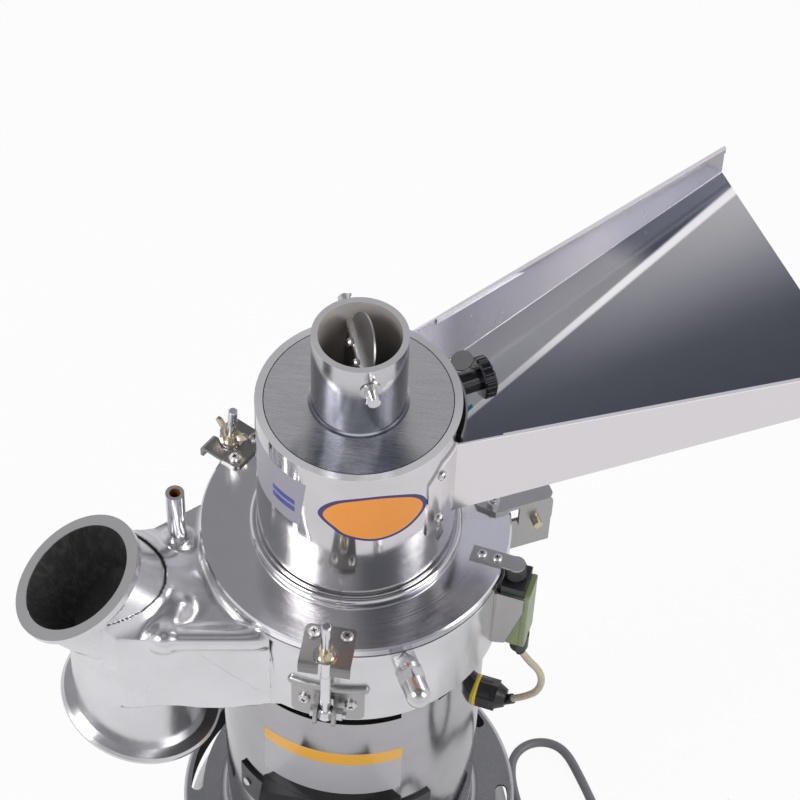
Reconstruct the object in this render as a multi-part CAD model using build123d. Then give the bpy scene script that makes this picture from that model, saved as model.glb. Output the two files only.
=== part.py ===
from build123d import *
import math
import os

# Pulverizer machine, in millimetres. Z is up and the floor is z = 0.
# The origin lies on the motor's axis. Azimuths run anticlockwise from +X and the front is at -90.

# Fits and clearances
SEAT_GAP = 0.1
CUT_PAST = 60.0
RUN_GAP = 0.05
MOVE_GAP = 0.3
HOLE_GAP = 0.2

# Base pan, feet and their screws
PAN_R = 159.0
PAN_WALL = 3.0
PAN_EDGE_R = 4.0
PAN_SKIRT_Z = 18.0
PAN_TOP_Z = 60.0
PAN_BORE_R = 98.0
SLOT_COUNT = 4
SLOT_R = 146.4
SLOT_WIDTH = 11.2
SLOT_START_AZ = 37.8
SLOT_SWEEP = 63.6
FOOT_COUNT = 4
FOOT_AZ = 24.6
FOOT_CIRCLE_R = 136.0
FOOT_TOP_R = 16.0
FOOT_BOTTOM_R = 13.5
FOOT_RECESS_R = 8.0
FOOT_RECESS_DEPTH = 7.0
BOSS_R = 10.0
M6_R = 3.0
M6_HEAD_R = 5.6
M6_HEAD_H = 3.8
FOOT_SCREW_LENGTH = 24.0

# Motor housing
HOUSING_R = 116.0
HOUSING_WALL = 4.0
HOUSING_TOP_Z = 388.0
HOUSING_FOOT_W = 8.0
HOUSING_FOOT_R = HOUSING_R + HOUSING_FOOT_W
HOUSING_FOOT_H = 3.0
WINDOW_TOP_Z = 382.0
WINDOW_BOTTOM_Z = 360.0
WINDOW_SWEEP = 72.0
WINDOW_WEB_AZ = -50.7
LUG_INSET = 10.0
LUG_CIRCLE_R = HOUSING_R - LUG_INSET
LUG_R = 7.0
LUG_HEIGHT = 22.0
HOUSING_SCREW_R = 2.5
HOUSING_SCREW_HEAD_R = 4.4
HOUSING_SCREW_OUT = 2.4
HOUSING_SCREW_CIRCLE_R = HOUSING_R + HOUSING_SCREW_OUT
HOUSING_SCREW_LENGTH = 12.0
M5_HEAD_H = 3.2
LEDGE_W = 6.0
LEDGE_R = HOUSING_R - HOUSING_WALL - LEDGE_W
LEDGE_Z = 84.0
LEDGE_H = 8.0

# Motor: end bell, stator, windings, rotor, shaft, bearings and fan
BELL_THICK = 8.0
BELL_HUB_R = 30.0
BELL_HUB_H = 14.0
BELL_VENTS = 6
BELL_VENT_R = 14.0
BELL_VENT_CIRCLE_R = 66.0
LOW_BEARING_R = 23.5
LOW_SHAFT_R = 10.0
LOW_BEARING_W = 14.0
TOP_BEARING_R = 26.0
TOP_SHAFT_R = 12.5
TOP_BEARING_W = 15.0
STATOR_Z0 = 150.0
STATOR_H = 95.0
STATOR_BORE_R = 60.6
ROTOR_R = 60.0
WINDING_R0 = 70.0
WINDING_H = 24.0
RIB_COUNT = 4
RIB_WIDTH = 18.0
RIB_DEPTH = 8.0
STATOR_R = HOUSING_R - HOUSING_WALL - RIB_DEPTH
WINDING_MARGIN = 6.0
WINDING_R1 = STATOR_R - WINDING_MARGIN
FAN_Z0 = 98.0
FAN_HUB_R = 20.0
FAN_R = 88.0
FAN_H = 20.0
FAN_BLADES = 8
FAN_BLADE_THICK = 3.0
FAN_DISC_THICK = 3.0

# Grinding chamber
CHAMBER_STEP = 12.0
CHAMBER_R = HOUSING_R + CHAMBER_STEP
CHAMBER_WALL = 10.5
CHAMBER_BORE_R = CHAMBER_R - CHAMBER_WALL
CHAMBER_FLOOR_Z = 400.0
CHAMBER_TOP_Z = 485.0
RIM_STEP = 2.0
RIM_R = CHAMBER_R + RIM_STEP
RIM_H = 5.0
HUB_R = 36.0
HUB_BOTTOM_Z = 356.0
CHAMBER_BOLT_LENGTH = 24.0
SEAL_R = 20.0
SEAL_H = 8.0
LINER_THICK = 8.0
LINER_TOP_Z = 474.0
LINER_TEETH = 24
LINER_TOOTH_W = 8.0
LINER_TOOTH_DEPTH = 3.0

# Grinding rotor
DISC_Z0 = 412.0
DISC_THICK = 7.0
DISC_HUB_R = 27.0
DISC_HUB_Z0 = 403.0
HAMMER_COUNT = 6
HAMMER_GAP = 6.5
HAMMER_LENGTH = 21.0
HAMMER_R1 = CHAMBER_BORE_R - LINER_THICK - LINER_TOOTH_DEPTH - HAMMER_GAP
HAMMER_R0 = HAMMER_R1 - HAMMER_LENGTH
HAMMER_PROUD = 1.0
DISC_R = HAMMER_R1 - HAMMER_PROUD
HAMMER_THICK = 12.0
HAMMER_HEIGHT = 34.0
HAMMER_CHAMFER = 5.0
HAMMER_SCREW_R = 4.0
HAMMER_SCREW_HEAD_R = 6.5
HAMMER_SCREW_HEAD_H = 4.0
HAMMER_SCREW_LENGTH = 16.0
ROTOR_NUT_AF = 30.0
ROTOR_NUT_H = 13.0

# Outlet casting, on axes d (outward along OUTLET_AZ) and n (towards the front)
OUTLET_AZ = 190.3
BLOCK_TOP_Z = 475.0
BLOCK_BOTTOM_Z = 388.0
BLOCK_WALL = 8.0
BLOCK_INNER_D = 40.0
BLOCK_BACK_N = -30.0
BLOCK_BACK_D = 131.0
BLOCK_CORNER_D = 180.0
BLOCK_CORNER_N = 2.0
BLOCK_END_D = 190.0
BLOCK_FRONT_N = 106.0
BLOCK_FRONT_DRAFT = 6.0
CHANNEL_FLOOR_Z = 402.0
CHANNEL_ROOF_Z = 464.0
ELBOW_D = 186.0
ELBOW_N = 54.0
ELBOW_Z = 433.0
ELBOW_R = 54.0
LOW_RIM_D = 184.5
LOW_RIM_Z = 315.0
LOW_RIM_TILT = 15.0
LOW_PIPE_R = 60.0
LOW_BORE_R = 55.5
LOW_RIM_R = 71.0
LOW_RIM_THICK = 7.0
ELBOW_BORE_R = 48.5
BORE_TOP_Z = 456.0
FLANGE_D = 229.4
FLANGE_N = 53.0
FLANGE_Z = 487.6
FLANGE_R = 59.5
FLANGE_THICK = 6.0
FLANGE_TILT = 29.8
UP_BORE_R = 49.4
UP_PIPE_R = 55.0
UP_PIPE_DROP = 3.0
UP_PIPE_SLOPE = 42.0
UP_PIPE_LENGTH = 98.0
UP_BORE_LENGTH = 70.0
RAIL_R = 7.5
RAIL_START_D = 82.0
RAIL_BALL_R = 10.5
RAIL_BALL_D = 156.0
LOBE_D = 146.0
LOBE_N = 76.0
STUB_D = 148.2
STUB_N = 7.7
STUB_R = 7.8
STUB_BORE_R = 4.5
STUB_TOP_Z = 542.0
STUB_BOSS_R = 12.0
STUB_BOSS_H = 6.0
STUB_DEPTH = 5.0

# Lid, gasket and fixed tooth ring
LID_R = RIM_R
LID_THICK = 8.0
LID_BOTTOM_Z = 487.0
LID_BORE_R = 46.0
LID_CHAMFER = 1.5
SPIGOT_GAP = 5.5
SPIGOT_R = CHAMBER_BORE_R - SPIGOT_GAP
SPIGOT_WALL = 6.0
SPIGOT_H = 10.0
NOTCH_R = LID_R + 1.5
NOTCH_W = 13.0
GASKET_R0 = CHAMBER_BORE_R + 1.5
GASKET_R1 = CHAMBER_R - 1.0
TOOTH_RING_R0 = 58.0
TOOTH_RING_R1 = 75.0
TOOTH_RING_H = 6.0
TOOTH_COUNT = 12
TOOTH_W = 9.0
TOOTH_H = 24.0

# Feed drum, cover and neck
DRUM_R = 82.0
DRUM_WALL = 2.0
DRUM_TOP_Z = 656.0
DRUM_BEAD_R = 4.0
DRUM_BEAD_CENTRE_R = 84.6
DRUM_LIP_R = 75.4
DRUM_OPENING_HALF = 35.0
DRUM_OPENING_Z0 = 562.0
DRUM_OPENING_Z1 = 620.0
COVER_THICK = 2.5
NECK_R = 37.85
NECK_BORE_R = 32.85
NECK_H = 77.0
NECK_TOP_Z = DRUM_TOP_Z + NECK_H
NECK_WELD = 2.5

# Damper in the neck
DAMPER_AZ = -67.7
DAMPER_DROP = 22.0
DAMPER_Z = NECK_TOP_Z - DAMPER_DROP
DAMPER_AXLE_R = 5.0
DAMPER_FRONT = 51.0
DAMPER_REAR = 58.0
DAMPER_DISC_R = 31.8
DAMPER_DISC_THICK = 1.5
DAMPER_TILT = 16.0
DAMPER_SCREW_R = 2.5
DAMPER_SCREW_HEAD_R = 4.2
DAMPER_WASHER_R = 8.5
DAMPER_WASHER_THICK = 1.2
DAMPER_PIN_R = 1.2
DAMPER_PIN_INSET = 7.5

# Feed hopper, its screws, the gate and the clamp knob
HOPPER_AZ = 32.8
SHEET = 1.5
HOPPER_NEAR_U = 64.0
HOPPER_FAR_U = 394.0
HOPPER_NEAR = [(-60, 638), (-60, 553), (-3.3, 556.7), (58, 566), (59, 638)]
HOPPER_FAR = [(-131.5, 663), (-131.5, 621), (106.6, 631), (130.5, 632), (131.5, 663)]
HOPPER_FLOOR_R = 87.0
HEM_H = 6.0
HEM_START_U = 96.0
EAR_HALF_0 = 44.6
EAR_HALF_1 = 71.5
EAR_Z0 = 559.0
EAR_Z1 = 640.0
EAR_CHAMFER = 16.0
EAR_SCREW_HALF = 61.5
EAR_SCREW_Z = (569.0, 625.5)
SMALL_SCREW_R = 2.0
SMALL_HEAD_R = 4.2
SMALL_HEAD_H = 2.4
GATE_R = 84.5
GATE_HALF = 41.3
GATE_Z0 = 553.0
GATE_Z1 = 645.0
GATE_LIFT = 50.0
GATE_SLOT_W = 7.5
GATE_TAB_R = 9.2
GATE_TAB_CENTRE = 94.5
GATE_TAB_RISE = 3.0
GATE_TAB_TILT = 20.0
GATE_TAB_AZ = 39.0
KNOB_Z = 632.0
KNOB_STUD_R = 3.0
KNOB_COLLAR_R = 6.5
KNOB_WASHER_R = 10.0
KNOB_HUB_R = 9.5
KNOB_HUB_END = 104.0
KNOB_HEAD_R = 17.6
KNOB_END = 115.0
KNOB_FLUTES = 20
KNOB_FLUTE_R = 1.5

# Lid clamps
CLAMP_AZ = (-90.0, 152.5)
CLAMP_LEAN = (0.0, 4.0)
CLAMP_REACH = 20.0
CLAMP_PLATE_R0 = LID_R - CLAMP_REACH
CLAMP_PLATE_R1 = LID_R + CLAMP_REACH
CLAMP_PLATE_HALF = 21.25
CLAMP_PLATE_THICK = 3.0
CLAMP_CORNER = 6.0
CLAMP_LIP_H = 12.0
CLAMP_SLOT_W = 10.0
CLAMP_SLOT_R = LID_R + 1.0
CLAMP_SCREW_U = LID_R - 11.5
CLAMP_SCREW_V = 13.5
M5_R = 2.5
M5_HEAD_R = 5.2
PIVOT_U = CHAMBER_R + 11.0
PIVOT_Z = 414.0
PIVOT_R = 3.0
EYE_R = 8.0
EYE_HALF = 6.0
ROD_R = 4.0
ROD_TOP_Z = 540.0
ROD_PLAIN_R = 4.6
ROD_PLAIN_TOP = 56.0
WASHER_R = 10.2
WASHER_THICK = 1.6
WING_BASE_R = 7.6
WING_TOP_R = 5.8
WING_BASE_H = 9.0
WING_SPAN = 17.0
WING_THICK = 3.0
WING_H = 17.0
BRACKET_HALF = 30.0
BRACKET_Z0 = 394.0
BRACKET_Z1 = 435.0
BRACKET_THICK = 3.0
BRACKET_CORNER = 5.0
BRACKET_GAP = 10.0
BRACKET_RAIL_R = 4.2
BRACKET_SCREW_V = 19.0
BRACKET_SCREW_Z = 417.0
EAR_THICK = 3.0
EAR_R = 10.5
PIVOT_NUT_AF = 10.0
PIVOT_NUT_H = 5.0

# Lid hinge
HINGE_AZ = 29.25
HINGE_U = CHAMBER_R + 21.0
HINGE_Z = 474.5
LEAF_U0 = LID_R - 30.0
LEAF_U1 = LID_R + 35.0
LEAF_HALF = 33.6
LEAF_THICK = 4.0
LEAF_CHAMFER = 12.0
LEAF_EAR_U0 = LID_R + 4.0
LEAF_EAR_R = 15.0
LEAF_BOLT_U = LID_R - 16.7
LEAF_BOLT_V = 24.5
LEAF_NUT_AF = 10.0
LEAF_NUT_H = 5.0
HINGE_PLATE = 3.0
HINGE_EAR_U1 = CHAMBER_R + 37.0
HINGE_EAR_Z0 = 435.0
HINGE_EAR_R = 11.0
HINGE_SCREW_V = 15.0
HINGE_SCREW_Z = 452.0
HINGE_PIN_R = 4.0
HINGE_PIN_HEAD_R = 6.5
HINGE_PIN_HEAD_H = 3.0
HINGE_PIN_TAIL = 7.0
COTTER_R = 1.2
COTTER_H = 9.0

# Interlock tab, limit switch and its lead
SWITCH_AZ = -8.9
TAB_U0 = LID_R - 29.0
TAB_HALF = 7.0
TAB_THICK = 2.0
TAB_END_U = LID_R + 9.5
TAB_END_R = 7.7
TAB_SCREW_U = (LID_R - 20.3, LID_R - 7.1)
SWITCH_HEAD_U1 = CHAMBER_R + 23.0
SWITCH_HEAD_HALF = 13.5
SWITCH_HEAD_Z0 = 470.0
SWITCH_HEAD_Z1 = 480.0
SWITCH_U1 = CHAMBER_R + 28.0
SWITCH_HALF = 14.0
SWITCH_Z0 = 401.0
SWITCH_EDGE = 1.5
PLUNGER_R = 8.9
PLUNGER_TOP_Z = 494.7
PLUNGER_STEM_R = 6.0
PLUNGER_RELIEF = 2.9
PLUNGER_RIBS = 3
PLUNGER_TRAVEL = 3.0
BRACKET_SHEET = 1.5
SWITCH_GLAND_R = 8.0
SWITCH_GLAND_U = CHAMBER_R + 21.0
SWITCH_GLAND_Z = 380.0
LEAD_R = 3.25
HOUSING_GLAND_Z = 293.5
HOUSING_GLAND_LENGTH = 27.0
HOUSING_GLAND_U1 = HOUSING_R + HOUSING_GLAND_LENGTH
HOUSING_GLAND_R = 13.2
HOUSING_RING_R = 14.2
HOUSING_RING_THICK = 1.8
NOZZLE_R = 4.6
LEAD_ROUTE = [(151.5, 374.0), (158.0, 363.0), (170.5, 351.0), (173.5, 331.0), (166.0, 309.5),
              (149.0, 296.0)]

# Side stud with its dome nut
STUD_AZ = -62.6
STUD_Z = 475.0
STUD_R = 6.0
STUD_BASE_AF = 18.0
STUD_BASE_END = CHAMBER_R + 13.0
STUD_WASHER_R = 11.2
STUD_WASHER_THICK = 2.0
DOME_AF = 20.0
DOME_HEX_H = 10.0
DOME_R = 10.2
DOME_END = CHAMBER_R + 49.0

# Control box
BOX_HALF = 62.0
BOX_FRONT_Y = -175.0
BOX_Z0 = 74.0
BOX_FRONT_Z = 210.0
BOX_REAR_Z = 228.0
BOX_WALL = 2.5
BOX_CORNER_R = 5.0
BOX_EAR_HALF_0 = 30.0
BOX_EAR_HALF_1 = 46.4
BOX_EAR_THICK = 3.0
BOX_EAR_Z = ((86.0, 126.0), (175.0, 218.0))
BOX_EAR_SCREW_HALF = 41.6
PANEL_THICK = 2.0
PANEL_INSET = 3.0
PANEL_SCREW_INSET = 9.0
ROCKER_X = -22.0
ROCKER_Z = 150.0
ROCKER_W = 20.0
ROCKER_H = 27.0
ROCKER_DEPTH = 9.0
ROCKER_PIVOT_DEPTH = 4.0
ROCKER_PIVOT_R = 1.2
ROCKER_BEZEL = 3.0
BUTTON_X = 24.0
BUTTON_Z = 150.0
BUTTON_R = 9.0
BUTTON_BEZEL_R = 13.0
BUTTON_BEZEL_H = 4.0
BUTTON_PROUD = 7.0
MAINS_GLAND_Y = -150.0
MAINS_GLAND_Z = 95.0
MAINS_GLAND_R = 10.0
MAINS_GLAND_L = 13.0
BOOT_R0 = 8.0
BOOT_R1 = 5.6

# Mains cord, coil and plug
CORD_R = 4.5
MAINS_ROUTE = [(102, -150, 95), (134, -150, 95), (165, -138, 74), (187, -106, 36), (195, -62, CORD_R),
               (185, -14, CORD_R), (166, 31, CORD_R), (150.5, 70, CORD_R), (149.5, 95.5, CORD_R),
               (161.3, 112.4, CORD_R), (180.9, 118.8, CORD_R), (200.4, 111.9, CORD_R),
               (218.6, 84, CORD_R), (239, 48, CORD_R), (256, 14, CORD_R), (256, -18, CORD_R)]
COIL_R = 50.0
COIL_LEAD = 42.0
COIL_X = MAINS_ROUTE[-1][0] + COIL_R + CORD_R
COIL_Y = MAINS_ROUTE[-1][1] - COIL_LEAD
COIL_LAYERS = 2
COIL_TUCK = 0.25
PLUG_WIDTH = 36.0
PLUG_LENGTH = 38.0
PLUG_EDGE_R = 7.0
PLUG_BOOT_L = 34.0
PLUG_BOOT_R = 8.0
PLUG_PIN_L = 18.0
PLUG_PIN_W = 6.4
PLUG_PIN_T = 1.6
PLUG_PIN_CIRCLE_R = 8.0


BOTTOM = (Align.CENTER, Align.CENTER, Align.MIN)
TOP = (Align.CENTER, Align.CENTER, Align.MAX)


def at(azimuth, part, u=0.0, v=0.0, z=0.0):
    """Turn a piece, drawn with x outward and y anticlockwise, to an azimuth of the machine."""
    return Rot(0, 0, azimuth) * Pos(u, v, z) * part


def group(parts):
    """Several separate solids as one piece of the list."""
    return Compound([solid for part in parts for solid in part.solids()])


def turned(points):
    """Solid turned about Z from a closed outline of (radius, height)."""
    outline = Polyline(*[(r, 0, z) for r, z in points], close=True)
    return revolve(make_face(outline), axis=Axis.Z)


def ring(r0, r1, z0, z1):
    """Plain ring about Z."""
    return Pos(0, 0, z0) * extrude(Circle(r1) - Circle(r0), z1 - z0)


def rod(radius, z0, z1):
    """Plain cylinder about Z."""
    return Pos(0, 0, z0) * Cylinder(radius, z1 - z0, align=BOTTOM)


def sector(r0, r1, half, z0, z1, middle=0.0):
    """Ring sector that reaches half degrees to each side of its middle azimuth."""
    outer = CenterArc((0, 0), r1, 180 - half, 2 * half)
    inner = CenterArc((0, 0), r0, 180 - half, 2 * half)
    face = make_face([outer, Line(outer @ 1, inner @ 1), inner, Line(inner @ 0, outer @ 0)])
    return Pos(0, 0, z0) * Rot(0, 0, middle - 180) * extrude(face, z1 - z0)


def hexagon(across_flats, z0, z1):
    """Hexagonal bar about Z."""
    return Pos(0, 0, z0) * extrude(RegularPolygon(across_flats / 2, 6, major_radius=False), z1 - z0)


def screw(shank_r, length, head_r, head_h):
    """Round-headed screw, its head on z = 0 and its shank below."""
    head = Cylinder(head_r, head_h, align=BOTTOM)
    head = chamfer(head.edges().sort_by(Axis.Z)[-1:], head_h * 0.45)
    return head + Cylinder(shank_r, length, align=TOP)


def outward(part):
    """Turn a piece that stands on z = 0 so that it points along +X."""
    return Rot(0, 90, 0) * part


def side_plate(points, v0, v1):
    """Plate standing in the radial plane, from an outline of (u, z), between two v places."""
    face = make_face(Polyline(*[(u, 0, z) for u, z in points], close=True))
    return Pos(0, v1, 0) * extrude(face, v1 - v0, dir=(0, -1, 0))


def polygon(points):
    """Flat face on z = 0 with the given corners."""
    return make_face(Polyline(*points, close=True))


# Base and motor


def base_pan():
    """Drawn pan with a rolled edge, four arc slots and a boss over each foot."""
    outer = Pos(0, 0, PAN_SKIRT_Z) * Cylinder(PAN_R, PAN_TOP_Z - PAN_SKIRT_Z, align=BOTTOM)
    outer = fillet(outer.edges().sort_by(Axis.Z)[-1:], PAN_EDGE_R)
    pan = outer - rod(PAN_R - PAN_WALL, PAN_SKIRT_Z - 1, PAN_TOP_Z - PAN_WALL)
    pan -= rod(PAN_BORE_R, PAN_SKIRT_Z, PAN_TOP_Z + 1)
    cap = math.degrees(SLOT_WIDTH / 2 / SLOT_R)
    for i in range(SLOT_COUNT):
        start = SLOT_START_AZ + cap + i * 360 / SLOT_COUNT
        path = CenterArc((0, 0), SLOT_R, start, SLOT_SWEEP - 2 * cap)
        pan -= Pos(0, 0, PAN_TOP_Z - PAN_EDGE_R) * extrude(SlotArc(path, SLOT_WIDTH), PAN_EDGE_R + 1)
    for i in range(FOOT_COUNT):
        boss = rod(BOSS_R, PAN_SKIRT_Z, PAN_TOP_Z - PAN_WALL)
        boss -= rod(M6_R + SEAT_GAP, PAN_SKIRT_Z, PAN_SKIRT_Z + FOOT_SCREW_LENGTH)
        pan += at(FOOT_AZ + i * 360 / FOOT_COUNT, boss, u=FOOT_CIRCLE_R)
    for azimuth in housing_screw_azimuths():
        hole = rod(HOUSING_SCREW_R + SEAT_GAP, PAN_TOP_Z - PAN_WALL - 1, PAN_TOP_Z + 1)
        pan -= at(azimuth, hole, u=HOUSING_SCREW_CIRCLE_R)
    return pan


def housing_screw_azimuths():
    """Azimuths of the screws that hold the housing's foot ring down."""
    return [FOOT_AZ + i * 360 / FOOT_COUNT for i in range(FOOT_COUNT)]


def foot_places(part):
    """Copies of a piece under the four bosses."""
    return [at(FOOT_AZ + i * 360 / FOOT_COUNT, part, u=FOOT_CIRCLE_R) for i in range(FOOT_COUNT)]


def rubber_feet():
    """Tapered rubber feet, recessed for their screws."""
    foot = turned([(M6_R + SEAT_GAP, PAN_SKIRT_Z), (FOOT_TOP_R, PAN_SKIRT_Z), (FOOT_BOTTOM_R, 0),
                   (FOOT_RECESS_R, 0), (FOOT_RECESS_R, FOOT_RECESS_DEPTH),
                   (M6_R + SEAT_GAP, FOOT_RECESS_DEPTH)])
    return group(foot_places(foot))


def foot_screws():
    """Screws that hold the feet to the pan's bosses."""
    one = Rot(180, 0, 0) * screw(M6_R, FOOT_SCREW_LENGTH, M6_HEAD_R, M6_HEAD_H)
    return group(foot_places(Pos(0, 0, FOOT_RECESS_DEPTH) * one))


def housing_screws():
    """Screws from under the pan into the housing's foot ring."""
    one = Rot(180, 0, 0) * screw(HOUSING_SCREW_R, HOUSING_SCREW_LENGTH, HOUSING_SCREW_HEAD_R, M5_HEAD_H)
    one = Pos(0, 0, PAN_TOP_Z - PAN_WALL) * one
    return group([at(a, one, u=HOUSING_SCREW_CIRCLE_R) for a in housing_screw_azimuths()])


def window_azimuths():
    """Azimuths of the webs between the housing's air windows."""
    return [WINDOW_WEB_AZ + i * 90 for i in range(4)]


def motor_housing():
    """Round motor housing with a flared foot, air windows, bolt lugs and core ribs."""
    bore = HOUSING_R - HOUSING_WALL
    foot_top = PAN_TOP_Z + HOUSING_FOOT_H
    flare_r = HOUSING_FOOT_R - HOUSING_R
    flare = foot_top + flare_r
    middle = flare_r * (1 - math.sqrt(0.5))
    lines = [
        Line((bore, 0, PAN_TOP_Z), (HOUSING_FOOT_R, 0, PAN_TOP_Z)),
        Line((HOUSING_FOOT_R, 0, PAN_TOP_Z), (HOUSING_FOOT_R, 0, foot_top)),
        ThreePointArc((HOUSING_FOOT_R, 0, foot_top), (HOUSING_R + middle, 0, foot_top + middle),
                      (HOUSING_R, 0, flare)),
        Line((HOUSING_R, 0, flare), (HOUSING_R, 0, HOUSING_TOP_Z)),
        Line((HOUSING_R, 0, HOUSING_TOP_Z), (bore, 0, HOUSING_TOP_Z)),
        Line((bore, 0, HOUSING_TOP_Z), (bore, 0, PAN_TOP_Z)),
    ]
    body = revolve(make_face(lines), axis=Axis.Z)
    body += ring(LEDGE_R, bore, LEDGE_Z - LEDGE_H, LEDGE_Z)
    for i in range(RIB_COUNT):
        body += sector(STATOR_R + SEAT_GAP, bore + 1, rib_half(), STATOR_Z0, STATOR_Z0 + STATOR_H,
                       WINDOW_WEB_AZ + i * 360 / RIB_COUNT)
    for azimuth in window_azimuths():
        window = sector(LUG_CIRCLE_R, HOUSING_R + 1, WINDOW_SWEEP / 2, WINDOW_BOTTOM_Z, WINDOW_TOP_Z,
                        azimuth + 45)
        body -= window
        lug = rod(LUG_R, HOUSING_TOP_Z - LUG_HEIGHT, HOUSING_TOP_Z)
        lug -= rod(M6_R + SEAT_GAP, HOUSING_TOP_Z - LUG_HEIGHT + 2, HOUSING_TOP_Z)
        body += at(azimuth, lug, u=LUG_CIRCLE_R)
    for azimuth in housing_screw_azimuths():
        hole = rod(HOUSING_SCREW_R + SEAT_GAP, PAN_TOP_Z, PAN_TOP_Z + HOUSING_SCREW_LENGTH)
        body -= at(azimuth, hole, u=HOUSING_SCREW_CIRCLE_R)
    gland = Rot(0, 90, 0) * Cylinder(NOZZLE_R + HOLE_GAP, 3 * HOUSING_WALL)
    body -= at(SWITCH_AZ, gland, u=HOUSING_R, z=HOUSING_GLAND_Z)
    for azimuth, z in box_screw_places():
        hole = Rot(0, 90, 0) * Cylinder(SMALL_SCREW_R + SEAT_GAP, 3 * HOUSING_WALL)
        body -= at(azimuth, hole, u=HOUSING_R, z=z)
    return body


def rib_half():
    """Half the sweep of a rib that carries the stator, in degrees."""
    return math.degrees(RIB_WIDTH / 2 / STATOR_R)


def end_bell():
    """Lower bearing plate with its hub and air holes, on the housing's ledge."""
    top = LEDGE_Z + BELL_THICK
    bell = rod(HOUSING_R - HOUSING_WALL - SEAT_GAP, LEDGE_Z, top)
    bell += rod(BELL_HUB_R, top - BELL_HUB_H - BELL_THICK, top)
    bell -= rod(LOW_BEARING_R + SEAT_GAP, low_bearing_z(), top + 1)
    bell -= rod(LOW_SHAFT_R + 1, top - BELL_HUB_H - BELL_THICK, top)
    for i in range(BELL_VENTS):
        bell -= at(i * 360 / BELL_VENTS, rod(BELL_VENT_R, LEDGE_Z - 1, top + 1), u=BELL_VENT_CIRCLE_R)
    return bell


def low_bearing_z():
    """Height of the lower bearing's underside."""
    return LEDGE_Z + BELL_THICK - LOW_BEARING_W


def bearing(outer_r, bore_r, width):
    """Sealed ball bearing with recessed shields."""
    step = (outer_r - bore_r) / 4
    dish = 0.6
    return turned([(bore_r, 0), (bore_r + step, 0), (bore_r + step, dish), (outer_r - step, dish),
                   (outer_r - step, 0), (outer_r, 0), (outer_r, width), (outer_r - step, width),
                   (outer_r - step, width - dish), (bore_r + step, width - dish),
                   (bore_r + step, width), (bore_r, width)])


def lower_bearing():
    """Bearing in the end bell."""
    return Pos(0, 0, low_bearing_z()) * bearing(LOW_BEARING_R, LOW_SHAFT_R + RUN_GAP, LOW_BEARING_W)


def top_bearing_z():
    """Height of the upper bearing's underside."""
    return HUB_BOTTOM_Z + 5


def upper_bearing():
    """Bearing in the chamber's hub."""
    return Pos(0, 0, top_bearing_z()) * bearing(TOP_BEARING_R, TOP_SHAFT_R + RUN_GAP, TOP_BEARING_W)


def stator_core():
    """Laminated core, held by the housing's ribs."""
    return ring(STATOR_BORE_R, STATOR_R, STATOR_Z0, STATOR_Z0 + STATOR_H)


def stator_windings():
    """Winding heads above and below the core."""
    top = STATOR_Z0 + STATOR_H
    heads = [ring(WINDING_R0, WINDING_R1, top, top + WINDING_H),
             ring(WINDING_R0, WINDING_R1, STATOR_Z0 - WINDING_H, STATOR_Z0)]
    return group([chamfer(h.edges().filter_by(GeomType.CIRCLE), WINDING_H / 4) for h in heads])


def motor_rotor():
    """Rotor core pressed on the shaft."""
    return ring(TOP_SHAFT_R + SEAT_GAP, ROTOR_R, STATOR_Z0, STATOR_Z0 + STATOR_H)


def cooling_fan():
    """Radial fan under the rotor."""
    fan = ring(LOW_SHAFT_R + SEAT_GAP, FAN_HUB_R, FAN_Z0, FAN_Z0 + FAN_H)
    fan += ring(FAN_HUB_R - 1, FAN_R, FAN_Z0 + FAN_H - FAN_DISC_THICK, FAN_Z0 + FAN_H)
    blade = Pos((FAN_HUB_R + FAN_R) / 2, 0, FAN_Z0) * Box(FAN_R - FAN_HUB_R + 2, FAN_BLADE_THICK, FAN_H,
                                                           align=BOTTOM)
    for i in range(FAN_BLADES):
        fan += Rot(0, 0, i * 360 / FAN_BLADES) * blade
    return fan & rod(FAN_R, FAN_Z0, FAN_Z0 + FAN_H)


def motor_shaft():
    """Shaft from the lower bearing to the grinding rotor's nut."""
    step = FAN_Z0 + FAN_H
    seat = DISC_Z0 + DISC_THICK
    return turned([(0, low_bearing_z() + 1), (LOW_SHAFT_R, low_bearing_z() + 1), (LOW_SHAFT_R, step),
                   (TOP_SHAFT_R, step), (TOP_SHAFT_R, seat), (LOW_SHAFT_R, seat),
                   (LOW_SHAFT_R, seat + ROTOR_NUT_H + 4), (LOW_SHAFT_R - 1.5, seat + ROTOR_NUT_H + 6),
                   (0, seat + ROTOR_NUT_H + 6)])


# Grinding rotor


def hammer_azimuths():
    """Azimuths of the hammers on the disc."""
    return [i * 360 / HAMMER_COUNT for i in range(HAMMER_COUNT)]


def hammer_screw_u():
    """Radius of the hammers' screws."""
    return (HAMMER_R0 + HAMMER_R1) / 2


def rotor_disc():
    """Steel disc with its hub, drilled for the hammers' screws."""
    top = DISC_Z0 + DISC_THICK
    disc = rod(DISC_R, DISC_Z0, top) + rod(DISC_HUB_R, DISC_HUB_Z0, top)
    disc -= rod(TOP_SHAFT_R + SEAT_GAP, DISC_HUB_Z0 - 1, top + 1)
    hole = rod(HAMMER_SCREW_R + SEAT_GAP, DISC_Z0 - 1, top + 1)
    for azimuth in hammer_azimuths():
        disc -= at(azimuth, hole, u=hammer_screw_u())
    return disc


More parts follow.
